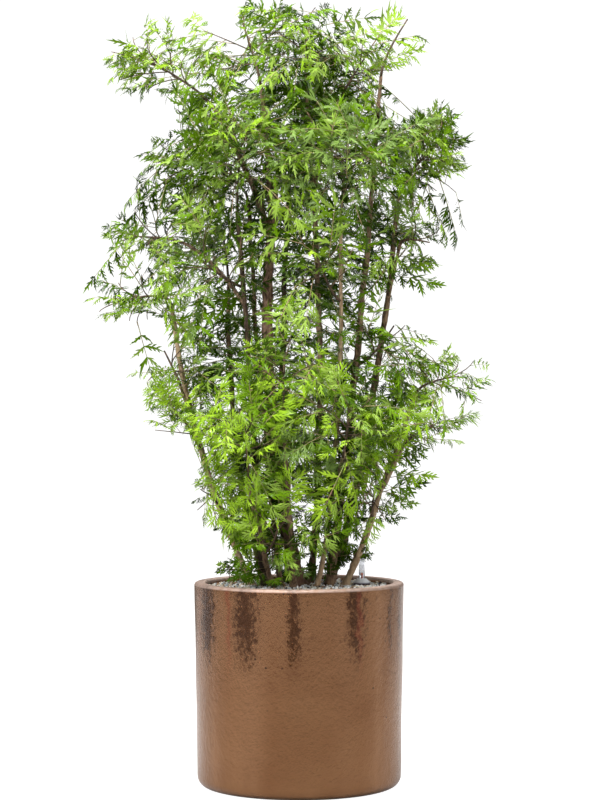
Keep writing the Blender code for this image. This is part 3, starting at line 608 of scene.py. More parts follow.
# a round tapering curve made a mesh, then given ridges and leaf scars
def limbMesh(name, points, radii, seed):
    curve = bpy.data.curves.new(name, "CURVE")
    curve.dimensions = "3D"
    curve.bevel_depth = 1.0
    curve.bevel_resolution = bark["roundness"]
    curve.use_fill_caps = True
    spline = curve.splines.new("POLY")
    spline.points.add(len(points) - 1)
    for place, point, radius in zip(spline.points, points, radii):
        place.co = (*point, 1)
        place.radius = radius
    guide = placed(bpy.data.objects.new(name, curve))
    bpy.context.view_layer.update()
    mesh = bpy.data.meshes.new_from_object(guide.evaluated_get(bpy.context.evaluated_depsgraph_get()))
    bpy.data.objects.remove(guide)
    bm = bmesh.new()
    bm.from_mesh(mesh)
    bmesh.ops.remove_doubles(bm, verts=bm.verts, dist=1e-5)
    bmesh.ops.recalc_face_normals(bm, faces=bm.faces)
    bm.normal_update()
    offset = Vector((seed * 3.7, seed * 1.3, 0))
    lowest, highest = points[0].z, points[-1].z
    for vert in bm.verts:
        share = (vert.co.z - lowest) / max(0.01, highest - lowest)
        radius = radii[0] + (radii[-1] - radii[0]) * min(1, max(0, share))
        at = vert.co + offset
        ridge = noise.fractal(Vector((at.x * 210, at.y * 210, at.z * 38)), 0.8, 2.1, 3)
        scar = max(0.0, noise.noise(Vector((seed, seed * 2, at.z * 75))) - bark["scarRim"])
        lump = noise.noise(at * 34)
        relief = bark["ridges"] * ridge + bark["scars"] * scar + bark["lumps"] * lump
        vert.co += vert.normal * radius * relief
    for face in bm.faces:
        face.smooth = True
    bm.to_mesh(mesh)
    bm.free()
    return mesh


# the axis, bent a little to and fro as a grown stem is, true at both ends
def wandering(points, seed):
    moved = []
    for number, point in enumerate(points):
        share = number / (len(points) - 1)
        at = Vector((seed * 5.1, 0, point.z * 9))
        aside = Vector((noise.noise(at), noise.noise(at + Vector((0, 40, 0))), 0))
        moved.append(point + aside * bark["wander"] * 2 * math.sin(math.pi * share) ** 0.5)
    return moved


# a stem from the grains to its tip, wider at the foot
def stemAxis(foot, knee, tip, radius, tipRadius):
    first, last = Vector((*foot, ground)), Vector(tip)
    count = int((last - first).length / bark["step"])
    axis = through(first, Vector(knee), last, count, -bark["runDown"] / (last - first).length)
    radii = []
    for point in axis:
        share = max(0.0, point.z - ground) / (last.z - ground)
        flare = 1 + bark["flare"] * max(0.0, 1 - (point.z - ground) / bark["flareHeight"]) ** 1.6
        radii.append((radius + (tipRadius - radius) * share) * flare)
    return axis, radii


# a bough that leaves its stem at a height and arches to its tip
def boughAxis(carrier, height, tip, radius, tipRadius):
    start, heading = atHeight(limbs[carrier], height)
    end = Vector(tip)
    middle = (start + end) / 2 + heading * (end - start).length * bark["arch"]
    axis = through(start, middle, end, max(8, int((end - start).length / bark["step"])))
    return axis, [radius + (tipRadius - radius) * i / (len(axis) - 1) for i in range(len(axis))]


def makeLimbs():
    barks = {name: barkMaterial(name) for name in ("tan", "rosy", "brown", "dark")}
    for table, shape, firstSeed in ((stems, stemAxis, 0), (boughs, boughAxis, 40)):
        for seed, (name, (*sizes, kind)) in enumerate(table.items(), firstSeed):
            axis, radii = shape(*sizes)
            limbs[name] = axis
            mesh = limbMesh(name, wandering(axis, seed), radii, seed)
            newObject("bark_" + name, mesh, [barks[kind]], "bark", name)


limbs = {}  # the axis of each stem and bough, which the foliage grows from
makeLimbs()
print("stems and boughs made")


# Foliage: twigs and compound leaves by the same rule as the solids, carried on finer

leafTints = {
    "lime": (0.325, 0.515, 0.030), "fresh": (0.232, 0.392, 0.018), "light": (0.236, 0.362, 0.050),
    "mid": (0.118, 0.232, 0.004), "deep": (0.040, 0.088, 0.001), "bluish": (0.158, 0.252, 0.052),
}
# how the tints are dealt out, in the order above
tintMixes = {
    "lime": (7, 5, 2, 0.5, 0.8, 0), "lively": (3, 6, 5, 2, 1, 0.5), "sunny": (0.8, 5, 8, 2.5, 0.5, 1),
    "bright": (0.4, 5, 8, 2, 0.2, 1), "plain": (0, 2.5, 5, 5, 2, 1.5), "shade": (0, 0.5, 2, 5, 6, 2),
    "blue": (0, 0.5, 2, 4, 2, 6),
}

# centre, half-sizes, the limb that carries it, height on it (None at its tip), zone, leaves, tints
masses = {
    "leaves_top_left": (
        (-0.283, -0.02, 1.466), (0.152, 0.122, 0.118), "bough_top_left", None, "Top", 90, "bright"),
    "leaves_top_middle_left": (
        (-0.105, -0.035, 1.524), (0.128, 0.122, 0.107), "bough_top_middle", None, "Top", 71, "bright"),
    "leaves_top_middle": (
        (0.015, -0.02, 1.528), (0.104, 0.122, 0.107), "stem_middle", None, "Top", 66, "bright"),
    "leaves_top_right": (
        (0.118, -0.01, 1.464), (0.116, 0.122, 0.116), "bough_top_right", None, "Top", 63, "bright"),
    "leaves_top_wisp": (
        (0.214, 0.005, 1.554), (0.081, 0.073, 0.061), "stem_right_inner", None, "Top", 22, "bright"),
    "leaves_right_lobe": (
        (0.268, 0.015, 1.295), (0.106, 0.116, 0.134), "stem_right", None, "Right", 199, "plain"),
    "leaves_right": (
        (0.239, -0.01, 1.112), (0.11, 0.104, 0.095), "bough_right", None, "Right", 64, "plain"),
    "leaves_left_upper": (
        (-0.232, 0.005, 1.275), (0.124, 0.122, 0.104), "stem_slim", None, "Left", 87, "plain"),
    "leaves_left_arm_upper": (
        (-0.307, 0.005, 1.122), (0.122, 0.11, 0.083), "bough_left", None, "Left", 76, "plain"),
    "leaves_left_arm": (
        (-0.348, -0.02, 0.988), (0.116, 0.11, 0.081), "stem_left", None, "Left", 113, "sunny"),
    "leaves_left_lower": (
        (-0.262, -0.03, 0.862), (0.112, 0.116, 0.091), "bough_low_left", None, "Left", 58, "sunny"),
    "leaves_left_lowest": (
        (-0.224, -0.05, 0.735), (0.112, 0.11, 0.076), "stem_left", 0.69, "Left", 60, "lively"),
    "leaves_low_left": (
        (-0.176, -0.03, 0.59), (0.092, 0.104, 0.098), "stem_left", 0.575, "Left", 107, "lime"),
    "leaves_front_left": (
        (-0.105, -0.152, 0.705), (0.14, 0.116, 0.095), "stem_front_left", None, "Front", 65, "lime"),
    "leaves_front_low": (
        (-0.05, -0.129, 0.522), (0.11, 0.098, 0.107), "stem_front_left", 0.48, "Front", 58, "lime"),
    "leaves_front_middle": (
        (-0.03, -0.142, 0.842), (0.137, 0.122, 0.104), "stem_front", None, "Front", 52, "lively"),
    "leaves_front_right": (
        (0.095, -0.137, 0.735), (0.122, 0.122, 0.11), "bough_front_right", None, "Front", 67, "lively"),
    "leaves_right_low": (
        (0.153, -0.045, 0.59), (0.107, 0.116, 0.128), "stem_right_outer", 0.55, "Right", 80, "lively"),
    "leaves_right_arm": (
        (0.297, -0.02, 0.826), (0.122, 0.116, 0.09), "stem_right_outer", None, "Right", 67, "sunny"),
    "leaves_right_lower": (
        (0.246, -0.055, 0.722), (0.11, 0.11, 0.076), "bough_low_right", None, "Right", 53, "lively"),
    "leaves_right_waist": (
        (0.173, -0.01, 0.92), (0.104, 0.116, 0.1), "stem_right_inner", 0.86, "Right", 31, "plain"),
    "leaves_upper_front_left": (
        (-0.115, -0.127, 1.29), (0.14, 0.122, 0.122), "stem_left_inner", None, "Front", 112, "plain"),
    "leaves_upper_front_right": (
        (0.095, -0.122, 1.265), (0.14, 0.122, 0.122), "stem_pale", None, "Front", 112, "blue"),
    "leaves_waist_left": (
        (-0.184, -0.075, 1.064), (0.1, 0.116, 0.104), "stem_left_inner", 1.02, "Left", 47, "plain"),
    "leaves_waist_front": (
        (0.045, -0.107, 1.065), (0.122, 0.116, 0.104), "stem_pale", 0.99, "Front", 37, "sunny"),
    "leaves_heart": (
        (0.005, 0.03, 1.345), (0.14, 0.11, 0.11), "trunk", None, "Top", 45, "shade"),
    "leaves_back_top": (
        (-0.01, 0.149, 1.395), (0.171, 0.146, 0.146), "stem_back", None, "BackHigh", 71, "plain"),
    "leaves_back_right": (
        (0.137, 0.17, 1.13), (0.159, 0.14, 0.146), "stem_right", 1.06, "BackHigh", 57, "plain"),
    "leaves_back_left": (
        (-0.167, 0.16, 1.16), (0.159, 0.14, 0.146), "stem_back_left", None, "BackHigh", 58, "plain"),
    "leaves_back_waist": (
        (0.0, 0.201, 0.96), (0.146, 0.128, 0.128), "stem_back", 0.9, "BackLow", 33, "plain"),
    "leaves_back_low_right": (
        (0.143, 0.17, 0.82), (0.152, 0.134, 0.128), "stem_right", 0.76, "BackLow", 30, "sunny"),
    "leaves_back_low_left": (
        (-0.144, 0.166, 0.85), (0.146, 0.128, 0.128), "stem_back_left", 0.79, "BackLow", 32, "plain"),
    "leaves_back_low": (
        (0.015, 0.167, 0.66), (0.146, 0.116, 0.11), "stem_back", 0.61, "BackLow", 37, "sunny"),
    "sprig": (
        (-0.145, 0.055, 0.437), (0.04, 0.035, 0.028), None, None, "Left", 20, "plain"),
}

growth = {
    # a mass's own stem: neck, how far it runs past the centre, rise from the side of a limb, radii
    "neckShare": 0.3, "stalkPast": 0.3, "sideRise": 0.35, "neckRadius": 0.0034, "stalkTip": 0.0016,
    # twigs: their reach in the mass's room, radii and spread round the sphere
    "twigReach": 0.72, "reachRange": (0.72, 1.12), "twigRadius": 0.0014, "twigTip": 0.0008,
    "twigSpread": 1.80,
    # where a twig leaves the stem, and how it bows and wanders
    "twigFrom": 0.35, "twigRange": 0.55, "twigJitter": 0.08, "twigArch": 0.12, "twigSag": 0.05,
    "twigWander": 0.06,
    # leaves on a twig: how many, the share of it that carries them, and their angle and heading
    "leavesATwig": 7.0, "countRange": (0.8, 1.2), "leafyShare": 0.8, "leafAngle": 0.9,
    "firstAngle": 0.35, "angleRange": (0.8, 1.25), "withTwig": 0.25, "outwards": 0.15,
    # a leaf: length of each form, hang, and how it faces
    "leafLength": {
        "strap": (0.108, 0.160), "fine": (0.100, 0.150), "broad": (0.10, 0.14), "oval": (0.09, 0.12)},
    "sprigSize": 0.42, "droop": (-0.15, 0.85), "droopShare": 0.42, "facing": 0.85, "facingSpread": 0.34,
    # which form: below this height mostly fine ones; some bluish leaves are broad
    "fineBelow": 0.80, "fineLow": 0.75, "fineHigh": 0.15, "bluishBroad": 0.22,
    # the crown's room, and how often and how far a leaf tries to find a place in it
    "reach": 0.97, "highest": 1.610, "stemsReach": 0.15, "stemsHeight": 1.45, "grainsClear": 0.008,
    "tries": 5, "stray": 0.22, "shorter": 0.09,
    # the crown's half-widths, and its width at the foot and how fast it widens from there
    "crownHalf": (0.36, 0.26), "footWidth": 0.5, "widening": 1.6, "widenFrom": 0.45, "slimmest": 0.4,
    # tints: most leaves keep their twig's; deeper ones inside the crown and near the grains, as painted
    # shade
    "sameTint": 0.62, "shaded": 0.60, "brightHeight": 1.36, "brightShaded": 0.45, "deeperShare": 0.75,
    "heart": 0.4, "darkHeight": 0.53, "darkShare": 0.7,
    # leaves on the limbs themselves: steps, share of broad ones, size, rise
    "limbLeafStep": 0.016, "lowStep": 0.026, "lowHeight": 0.60, "bareHeight": 0.50, "footBare": 0.012,
    "broadLow": 0.45, "broadHigh": 0.10, "sizeLow": 0.6, "sizeHigh": 0.85, "limbLeafRise": (0.1, 0.9),
    "leafyFeet": ("stem_left_inner", "stem_front_left", "stem_back_left", "stem_back", "stem_middle"),
    # tufts at the feet
    "tuftedFeet": ("stem_back", "stem_middle", "stem_right", "stem_right_inner", "stem_back_left"),
    "tuftLeaves": 4, "tuftStart": 0.015, "tuftStep": 0.022, "tuftLength": 0.085, "singleDroop": 0.3,
}

# leaflets of each form: lobes a side; then, as shares of the leaflet's length, the blade's half-width and
# a lobe's length and half-width; then the lobes' angle, and how the leaflet bends, goes aside and twists
leafletKinds = {
    "strap": (
        (2, 0.060, 0.18, 0.034, 0.60, 0.8, 0.28, 0.5), (3, 0.055, 0.21, 0.034, 0.70, 1.3, -0.26, -0.9),
        (2, 0.064, 0.14, 0.034, 0.50, 1.0, 0.34, 1.1), (3, 0.056, 0.18, 0.032, 0.62, 0.5, -0.20, 0.2),
        (3, 0.058, 0.24, 0.036, 0.72, 0.9, 0.16, -0.5), (1, 0.062, 0.21, 0.040, 0.55, -0.4, -0.26, -0.3),
    ),
    "fine": (
        (2, 0.048, 0.48, 0.046, 0.52, 0.5, 0.16, 0.3), (2, 0.046, 0.54, 0.048, 0.60, 0.9, -0.18, -0.6),
        (2, 0.052, 0.44, 0.052, 0.55, 0.3, 0.10, 0.2), (3, 0.046, 0.40, 0.044, 0.50, 1.2, 0.22, 0.8),
        (1, 0.056, 0.42, 0.054, 0.50, 0.7, -0.12, -0.3),
    ),
    "broad": (
        (3, 0.085, 0.26, 0.056, 0.80, 0.4, 0.04, 0.2), (2, 0.095, 0.32, 0.070, 0.95, 0.2, -0.05, -0.2),
    ),
    "oval": ((1, 0.190, 0.16, 0.060, 0.55, 0.3, 0.05, 0.1),),
}

leaflet = {
    # the blade: where its lobes start, the stretch they take up, a lobe's foot and shift as shares of the
    # step from one to the next, the width at the root, and the width at the foot and how much less later
    "root": 0.17, "lobed": 0.60, "lobeFoot": 0.34, "shift": 0.16, "rootWidth": 0.35,
    "bladeTaper": (1.15, 0.6),
    # a lobe's length, lean and width: at the blade's foot, and how much less at its tip
    "lobeTapers": ((1.2, 0.75), (1.0, 0.3), (1.1, 0.4)),
    "lobeLength": (0.65, 1.25), "lean": (0.8, 1.2), "hook": 0.18, "fold": 0.35,
    # on a leaf 0.14 long: stalk radii and their places; then the leaflets' turn, hang, tilt and size
    "stalkFor": 0.14, "stalkRadii": (0.0011, 0.0009, 0.0007, 0.0004), "stalkAt": (0, 0.24, 0.47, 0.70),
    "turn": (0.75, 1.2), "hang": (-0.15, 0.4), "endHang": 0.4, "tilt": 0.30, "sideTilt": 0.25,
    "size": (0.75, 1.15), "olderTint": 0.22,
}


# a cut blade one unit long: a narrow strip with lobes drawn out of short stretches of its sides
def leafletShape(kind, rng):
    lobes, blade, lobe, width, angle, bend, aside, twist = kind
    bm = bmesh.new()
    rings = 2 * lobes + 1
    root, pitch = leaflet["root"], leaflet["lobed"] / lobes
    base = leaflet["lobeFoot"] * pitch
    wide, taper = leaflet["bladeTaper"]
    bmesh.ops.create_grid(bm, x_segments=1, y_segments=rings, size=0.5)
    ring = {}
    for vert in bm.verts:
        number = ring[vert] = round((vert.co.y + 0.5) * rings)
        step, upper = divmod(number - 1, 2)
        along = 0.0 if number == 0 else 1.0 if number == rings else root + step * pitch + upper * base
        if 0 < number < rings:  # the lobes of the two sides don't face each other
            along += math.copysign(leaflet["shift"] * pitch, vert.co.x)
        half = blade * (leaflet["rootWidth"] if number == 0 else wide - taper * along)
        vert.co = Vector((math.copysign(half, vert.co.x), 0, along))
    tip = [v for v in bm.verts if ring[v] == rings]
    bmesh.ops.pointmerge(bm, verts=tip, merge_co=(0, 0, 1))
    sides = []
    for edge in bm.edges:
        low, high = sorted(ring[v] for v in edge.verts)
        if low % 2 and high == low + 1 and edge.is_boundary:
            sides.append(edge)
    for edge in sides:
        side = math.copysign(1, edge.verts[0].co.x)
        middle = (edge.verts[0].co + edge.verts[1].co) / 2
        length, lean, half = (foot - less * middle.z for foot, less in leaflet["lobeTapers"])
        length = lobe * length * rng.uniform(*leaflet["lobeLength"])
        lean = angle * lean * rng.uniform(*leaflet["lean"])
        way = Vector((side * math.sin(lean), 0, math.cos(lean)))
        across = Vector((-side * math.cos(lean), 0, math.sin(lean)))
        drawn = bmesh.ops.extrude_edge_only(bm, edges=[edge])["geom"]
        verts = sorted((g for g in drawn if isinstance(g, bmesh.types.BMVert)), key=lambda v: v.co.z)
        half = width * half  # a lobe is widest half way
        verts[0].co = middle + way * length * 0.5 - across * half
        verts[1].co = middle + way * length * 0.5 + across * half
        edge = next(e for e in verts[0].link_edges if e.other_vert(verts[0]) is verts[1])
        drawn = bmesh.ops.extrude_edge_only(bm, edges=[edge])["geom"]
        ends = [g for g in drawn if isinstance(g, bmesh.types.BMVert)]
        hook = Vector((0, 0, leaflet["hook"] * length))
        bmesh.ops.pointmerge(bm, verts=ends, merge_co=middle + way * length + hook)
    for vert in bm.verts:  # the blade folds, twists, curves aside and droops
        x, z = vert.co.x, vert.co.z
        turn, fall = twist * z, bend * z
        fold = -abs(x) * leaflet["fold"]
        x, lift = x * math.cos(turn) - fold * math.sin(turn), x * math.sin(turn) + fold * math.cos(turn)
        x += aside * z * z
        vert.co = Vector((x, lift * math.cos(fall) - z * math.sin(fall) * 0.5,
                          z * math.cos(fall * 0.5) + lift * math.sin(fall)))
    return arraysFromShape(bm)


# faces of one closed tube: rings of points between two poles
def tubeShape(rings, sides):
    faces = []
    for ring in range(rings - 1):
        for side in range(sides):
            a, b = ring * sides + side, ring * sides + (side + 1) % sides
            faces += [(a, b, b + sides), (a, b + sides, a + sides)]
    foot, top = rings * sides, rings * sides + 1
    last = (rings - 1) * sides
    for side in range(sides):
        after = (side + 1) % sides
        faces += [(foot, after, side), (top, last + side, last + after)]
    return np.array(faces)


# tapering closed tubes along curves: paths (n, k, 3) and radii (n, k)
def tubes(paths, radii, sides):
    count, rings, _ = paths.shape
    tangent = np.gradient(paths, axis=1)
    tangent /= np.linalg.norm(tangent, axis=2, keepdims=True) + 1e-12
    rough = np.where(np.abs(tangent[:, :1, 2:]) > 0.9, [[[1.0, 0, 0]]], [[[0, 0, 1.0]]])
    u = np.cross(np.broadcast_to(rough, tangent.shape), tangent)
    u /= np.linalg.norm(u, axis=2, keepdims=True) + 1e-12
    v = np.cross(tangent, u)
    angles = np.arange(sides) * math.tau / sides
    circle = u[:, :, None] * np.cos(angles)[:, None] + v[:, :, None] * np.sin(angles)[:, None]
    rim = paths[:, :, None] + circle * radii[:, :, None, None]
    points = np.concatenate([rim.reshape(count, -1, 3), paths[:, :1], paths[:, -1:]], axis=1)
    faces = tubeShape(rings, sides)
    offsets = (np.arange(count) * points.shape[1])[:, None, None]
    return points.reshape(-1, 3), (faces[None] + offsets).reshape(-1, 3)


def unit(vectors):
    return vectors / (np.linalg.norm(vectors, axis=-1, keepdims=True) + 1e-12)


def frameAlong(direction):
    z = direction.normalized()
    x = up.cross(z)
    x = x.normalized() if x.length > 1e-4 else Vector((1, 0, 0))
    return Matrix((x, z.cross(x), z)).transposed()


# a direction across another, at an angle round it
def sideways(direction, angle):
    return frameAlong(direction) @ Vector((math.cos(angle), math.sin(angle), 0))


# directions spread evenly over a sphere, from the pole round to its far side
def spreadDirections(count, pole, rng):
    turn, phase, found = frameAlong(pole), rng.uniform(0, math.tau), []
    for i in range(count):
        height = 1 - growth["twigSpread"] * (i + 0.15) / count
        across, angle = math.sqrt(max(0.0, 1 - height * height)), phase + i * goldenAngle
        found.append(turn @ Vector((across * math.cos(angle), across * math.sin(angle), height)))
    return found


# ellipses kept free of leaves from front to back, where sky shows between the sprays:
# centre (x, z) and half-sizes
openings = (
    ((0.262, 0.97), (0.125, 0.046)), ((-0.365, 1.35), (0.062, 0.055)), ((-0.352, 1.55), (0.034, 0.03)),
    ((-0.314, 1.374), (0.09, 0.044)), ((-0.3, 0.684), (0.112, 0.06)),
    ((-0.236, 0.608), (0.034, 0.026)), ((-0.172, 1.574), (0.044, 0.07)), ((0.105, 1.616), (0.03, 0.032)),
    ((0.25, 1.438), (0.056, 0.044)), ((0.203, 1.395), (0.04, 0.032)), ((0.246, 0.49), (0.088, 0.06)),
    ((-0.285, 0.5), (0.078, 0.058)), ((-0.15, 0.478), (0.048, 0.036)),
    ((-0.352, 1.065), (0.085, 0.03)), ((0.284, 0.668), (0.108, 0.04)), ((0.062, 0.436), (0.07, 0.036)),
    ((0.155, 1.56), (0.034, 0.03)), ((0.274, 1.198), (0.06, 0.03)), ((0.314, 1.24), (0.028, 0.034)),
    ((0.212, 1.088), (0.055, 0.034)), ((-0.298, 1.14), (0.052, 0.028)), ((-0.332, 0.912), (0.104, 0.042)),
    ((0.318, 0.782), (0.048, 0.03)),
)

allCentres = np.array([row[0] for row in masses.values()])
allHalves = np.array([row[1] for row in masses.values()])


# whether a point is in one of the openings, each taken at a share of its size
def inOpening(point, size=1.0):
    return any(((point.x - x) / a) ** 2 + ((point.z - z) / b) ** 2 < size * size
               for (x, z), (a, b) in openings)


# whether a point is in the room of any mass or among the stems, above the grains and in no opening
def inCrown(point, reach):
    offsets = (np.array(point) - allCentres) / allHalves
    inside = (offsets ** 2).sum(1).min() <= reach * reach
    if inOpening(point):
        return False
    amongStems = point.z < growth["stemsHeight"] and math.hypot(point.x, point.y) < growth["stemsReach"]
    return (inside or amongStems) and ground + growth["grainsClear"] < point.z < growth["highest"]


# how far out in the whole crown a point is: 0 at the axis, 1 at the edge; the crown is slimmer low down
def outwardShare(point):
    width = growth["footWidth"] + growth["widening"] * (point.z - growth["widenFrom"])
    width = min(1.0, max(growth["slimmest"], width))
    half = growth["crownHalf"]
    return math.hypot(point.x / half[0], point.y / half[1]) / width


# the point at a share of a path, and the path's heading there
def pathPoint(path, share):
    place = share * (len(path) - 1)
    number = min(len(path) - 2, int(place))
    below, above = path[number], path[number + 1]
    return below.lerp(above, place - number), (above - below).normalized()


def jittered(vector, amount, rng):
    return vector + Vector([rng.uniform(-amount, amount) for _ in range(3)])


# a leaf (root, heading, facing, length, droop, tint, form) that keeps to the crown's room, or None
def placedLeaf(root, way, full, tint, form, rng):
    outwards = Vector((root.x, root.y, 0)).normalized()
    for attempt in range(growth["tries"]):
        heading = jittered(way.normalized(), growth["stray"] * attempt, rng).normalized()
        droop = rng.uniform(*growth["droop"])
        length = full * (1 - growth["shorter"] * attempt)
        tip = root + heading * length - up * droop * length * growth["droopShare"]
        halfway = root + heading * length * 0.6 - up * droop * length * 0.15
        if inCrown(tip, growth["reach"]) and not inOpening(halfway, 0.8):
            stray = Vector([rng.gauss(0, growth["facingSpread"]) for _ in range(3)])
            facing = outwards * growth["facing"] + up + stray
            # painted shade: leaves inside the crown and near the grains take deeper tints
            shaded = growth["shaded"] if tip.z < growth["brightHeight"] else growth["brightShaded"]
            share = outwardShare(tip)
            shadeSteps = (share < shaded and rng.random() < growth["deeperShare"]) + (share < growth["heart"])
            if tip.z < growth["darkHeight"] and rng.random() < growth["darkShare"]:
                shadeSteps = 2
            if shadeSteps and tint < 5:
                tint = min(4, tint + shadeSteps)
            return root, heading, facing, length, droop, tint, form
    return None


# mostly finely cut leaves low down and strap-like ones above, with some broad old ones
def chosenForm(height, broad, rng):
    if rng.random() < broad:
        return "broad"
    fine = growth["fineLow"] if height < growth["fineBelow"] else growth["fineHigh"]
    return "fine" if rng.random() < fine else "strap"


# twig paths and leaves of one mass
def growMass(name, seed):
    centre, halves, carrier, height, _, leafCount, mixName = masses[name]
    rng = random.Random(seed)
    centre, size = Vector(centre), sum(halves) / 3
    if carrier is None:
        start, heading = Vector((centre.x, centre.y, ground)), up
    elif height is None:
        axis = limbs[carrier]
        start, heading = axis[-1], (axis[-1] - axis[-2]).normalized()
    else:
        start, rising = atHeight(limbs[carrier], height)
        outward = centre - start
        outward -= rising * outward.dot(rising)
        heading = (outward.normalized() + rising * growth["sideRise"]).normalized()
    smaller = growth["sprigSize"] if carrier is None else 1.0
    outward = (centre - start).normalized()
    end = centre + outward * size * growth["stalkPast"]
    bend = start + heading * (end - start).length * growth["neckShare"]
    stalk = [onCurve(start, bend, end, t) for t in np.linspace(0, 1, 7)]
    twigs = [(stalk, growth["neckRadius"] * smaller, growth["stalkTip"] * smaller)]
    leaves = []
    mix = tintMixes[mixName]
    twigCount = max(3, round(leafCount / growth["leavesATwig"]))
    for direction in spreadDirections(twigCount, (end - bend).normalized(), rng):
        place = growth["twigFrom"] + growth["twigRange"] * (0.5 + 0.5 * direction.dot(outward))
        place += rng.uniform(-growth["twigJitter"], growth["twigJitter"])
        place = min(0.98, max(0.25, place))
        foot = onCurve(start, bend, end, place)
        reach = growth["twigReach"] * rng.uniform(*growth["reachRange"])
        tip = centre + Vector([direction[k] * halves[k] * reach for k in range(3)])
        if inOpening(tip, 0.6):
            continue
        length = (tip - foot).length
        bow = outward * growth["twigArch"] - up * growth["twigSag"]
        middle = jittered((foot + tip) / 2 + bow * length, growth["twigWander"] * length, rng)
        path = through(foot, middle, tip, 6)
        earlier = len(leaves)
        twigTint = rng.choices(range(6), mix)[0]
        count = round(growth["leavesATwig"] * rng.uniform(*growth["countRange"]))
        phase = rng.uniform(0, math.tau)
        for number in range(count):
            root, along = pathPoint(path, 1.0 - growth["leafyShare"] * (number / count) ** 0.9)
            opened = growth["firstAngle"] if number == 0 else rng.uniform(*growth["angleRange"])
            spread = growth["leafAngle"] * opened
            aside = sideways(along, phase + number * goldenAngle)
            outwards = Vector((root.x, root.y, 0)).normalized()
            way = along * math.cos(spread) + aside * math.sin(spread)
            way = way + direction * growth["withTwig"] + outwards * growth["outwards"]
            tint = twigTint if rng.random() < growth["sameTint"] else rng.choices(range(6), mix)[0]
            broad = growth["bluishBroad"] if tint == 5 else 0.0
            form = "oval" if carrier is None else chosenForm(centre.z, broad, rng)
            full = rng.uniform(*growth["leafLength"][form]) * smaller
            leaf = placedLeaf(root, way, full, tint, form, rng)
            if leaf:
                leaves.append(leaf if carrier else leaf[:5] + (tint,) + leaf[6:])
        if len(leaves) > earlier + 1:
            twigs.append((path, growth["twigRadius"] * smaller, growth["twigTip"] * smaller))
        else:
            del leaves[earlier:]
    return twigs, leaves


# single broad leaves, where the growth leaves a stem too bare: stem, height, heading, length, tint
loneLeaves = (
    ("stem_right_outer", 0.55, (0.85, -0.2, 0.1), 0.075, 4),
    ("stem_right_outer", 0.575, (0.95, -0.2, 0.15), 0.095, 2),
    ("stem_right_outer", 0.6, (0.9, -0.3, 0.35), 0.11, 3),
    ("stem_right_outer", 0.63, (0.9, -0.5, 0.2), 0.115, 1),
    ("stem_right_outer", 0.655, (0.8, -0.2, 0.5), 0.1, 3),
    ("stem_right", 0.48, (-0.5, -0.8, 0.0), 0.095, 4),
    ("stem_right_inner", 0.49, (0.3, -0.9, 0.1), 0.095, 3),
    ("trunk", 0.47, (0.1, -0.8, 0.1), 0.095, 5), ("trunk", 0.5, (-0.4, -0.9, 0.2), 0.1, 4),
    ("stem_front", 0.45, (0.35, -0.7, -0.05), 0.08, 5),
    ("stem_front_left", 0.44, (-0.7, -0.5, -0.1), 0.075, 4),
    ("stem_front_left", 0.425, (0.2, -0.9, 0.1), 0.075, 3),
    ("stem_left_inner", 0.44, (-0.3, -0.8, 0.0), 0.08, 4),
    ("stem_left_inner", 0.425, (0.5, -0.8, 0.0), 0.075, 4),
    ("stem_front_left", 0.45, (-1.0, -0.3, -0.15), 0.09, 4),
    ("stem_front_left", 0.462, (-0.9, -0.1, 0.1), 0.08, 3),
    ("stem_left", 0.44, (0.1, -0.9, 0.0), 0.08, 3), ("stem_left", 0.458, (-0.4, -0.8, 0.1), 0.075, 4),
    ("stem_front", 0.478, (0.2, -0.9, 0.1), 0.085, 4), ("stem_front", 0.462, (-0.6, -0.7, 0.1), 0.08, 5),
    ("stem_pale", 0.5, (0.5, -0.8, 0.1), 0.085, 4),
    ("stem_right_inner", 0.52, (-0.4, -0.8, 0.2), 0.085, 3),
    ("stem_right", 0.545, (0.3, -0.9, 0.1), 0.11, 4), ("stem_right", 0.6, (-0.3, -0.9, 0.1), 0.115, 4),
    ("stem_left_inner", 0.968, (-0.9, -0.3, 0.15), 0.125, 3),
    ("stem_left_inner", 1.0, (-0.8, -0.5, 0.0), 0.115, 4),
    ("stem_slim", 0.985, (-0.9, -0.4, 0.3), 0.12, 3), ("stem_slim", 0.95, (-0.8, -0.4, 0.1), 0.11, 4),
    ("stem_right", 1.05, (0.9, -0.3, -0.1), 0.12, 3), ("stem_right", 1.075, (0.9, -0.1, 0.1), 0.11, 1),
    ("stem_right", 0.575, (0.6, -0.8, 0.0), 0.11, 5),
    ("stem_right_inner", 0.59, (0.3, -0.9, 0.0), 0.11, 4),
    ("stem_front", 0.505, (0.4, -0.9, 0.1), 0.1, 4),
    ("stem_front_left", 0.5, (-0.5, -0.8, 0.1), 0.1, 4),
)


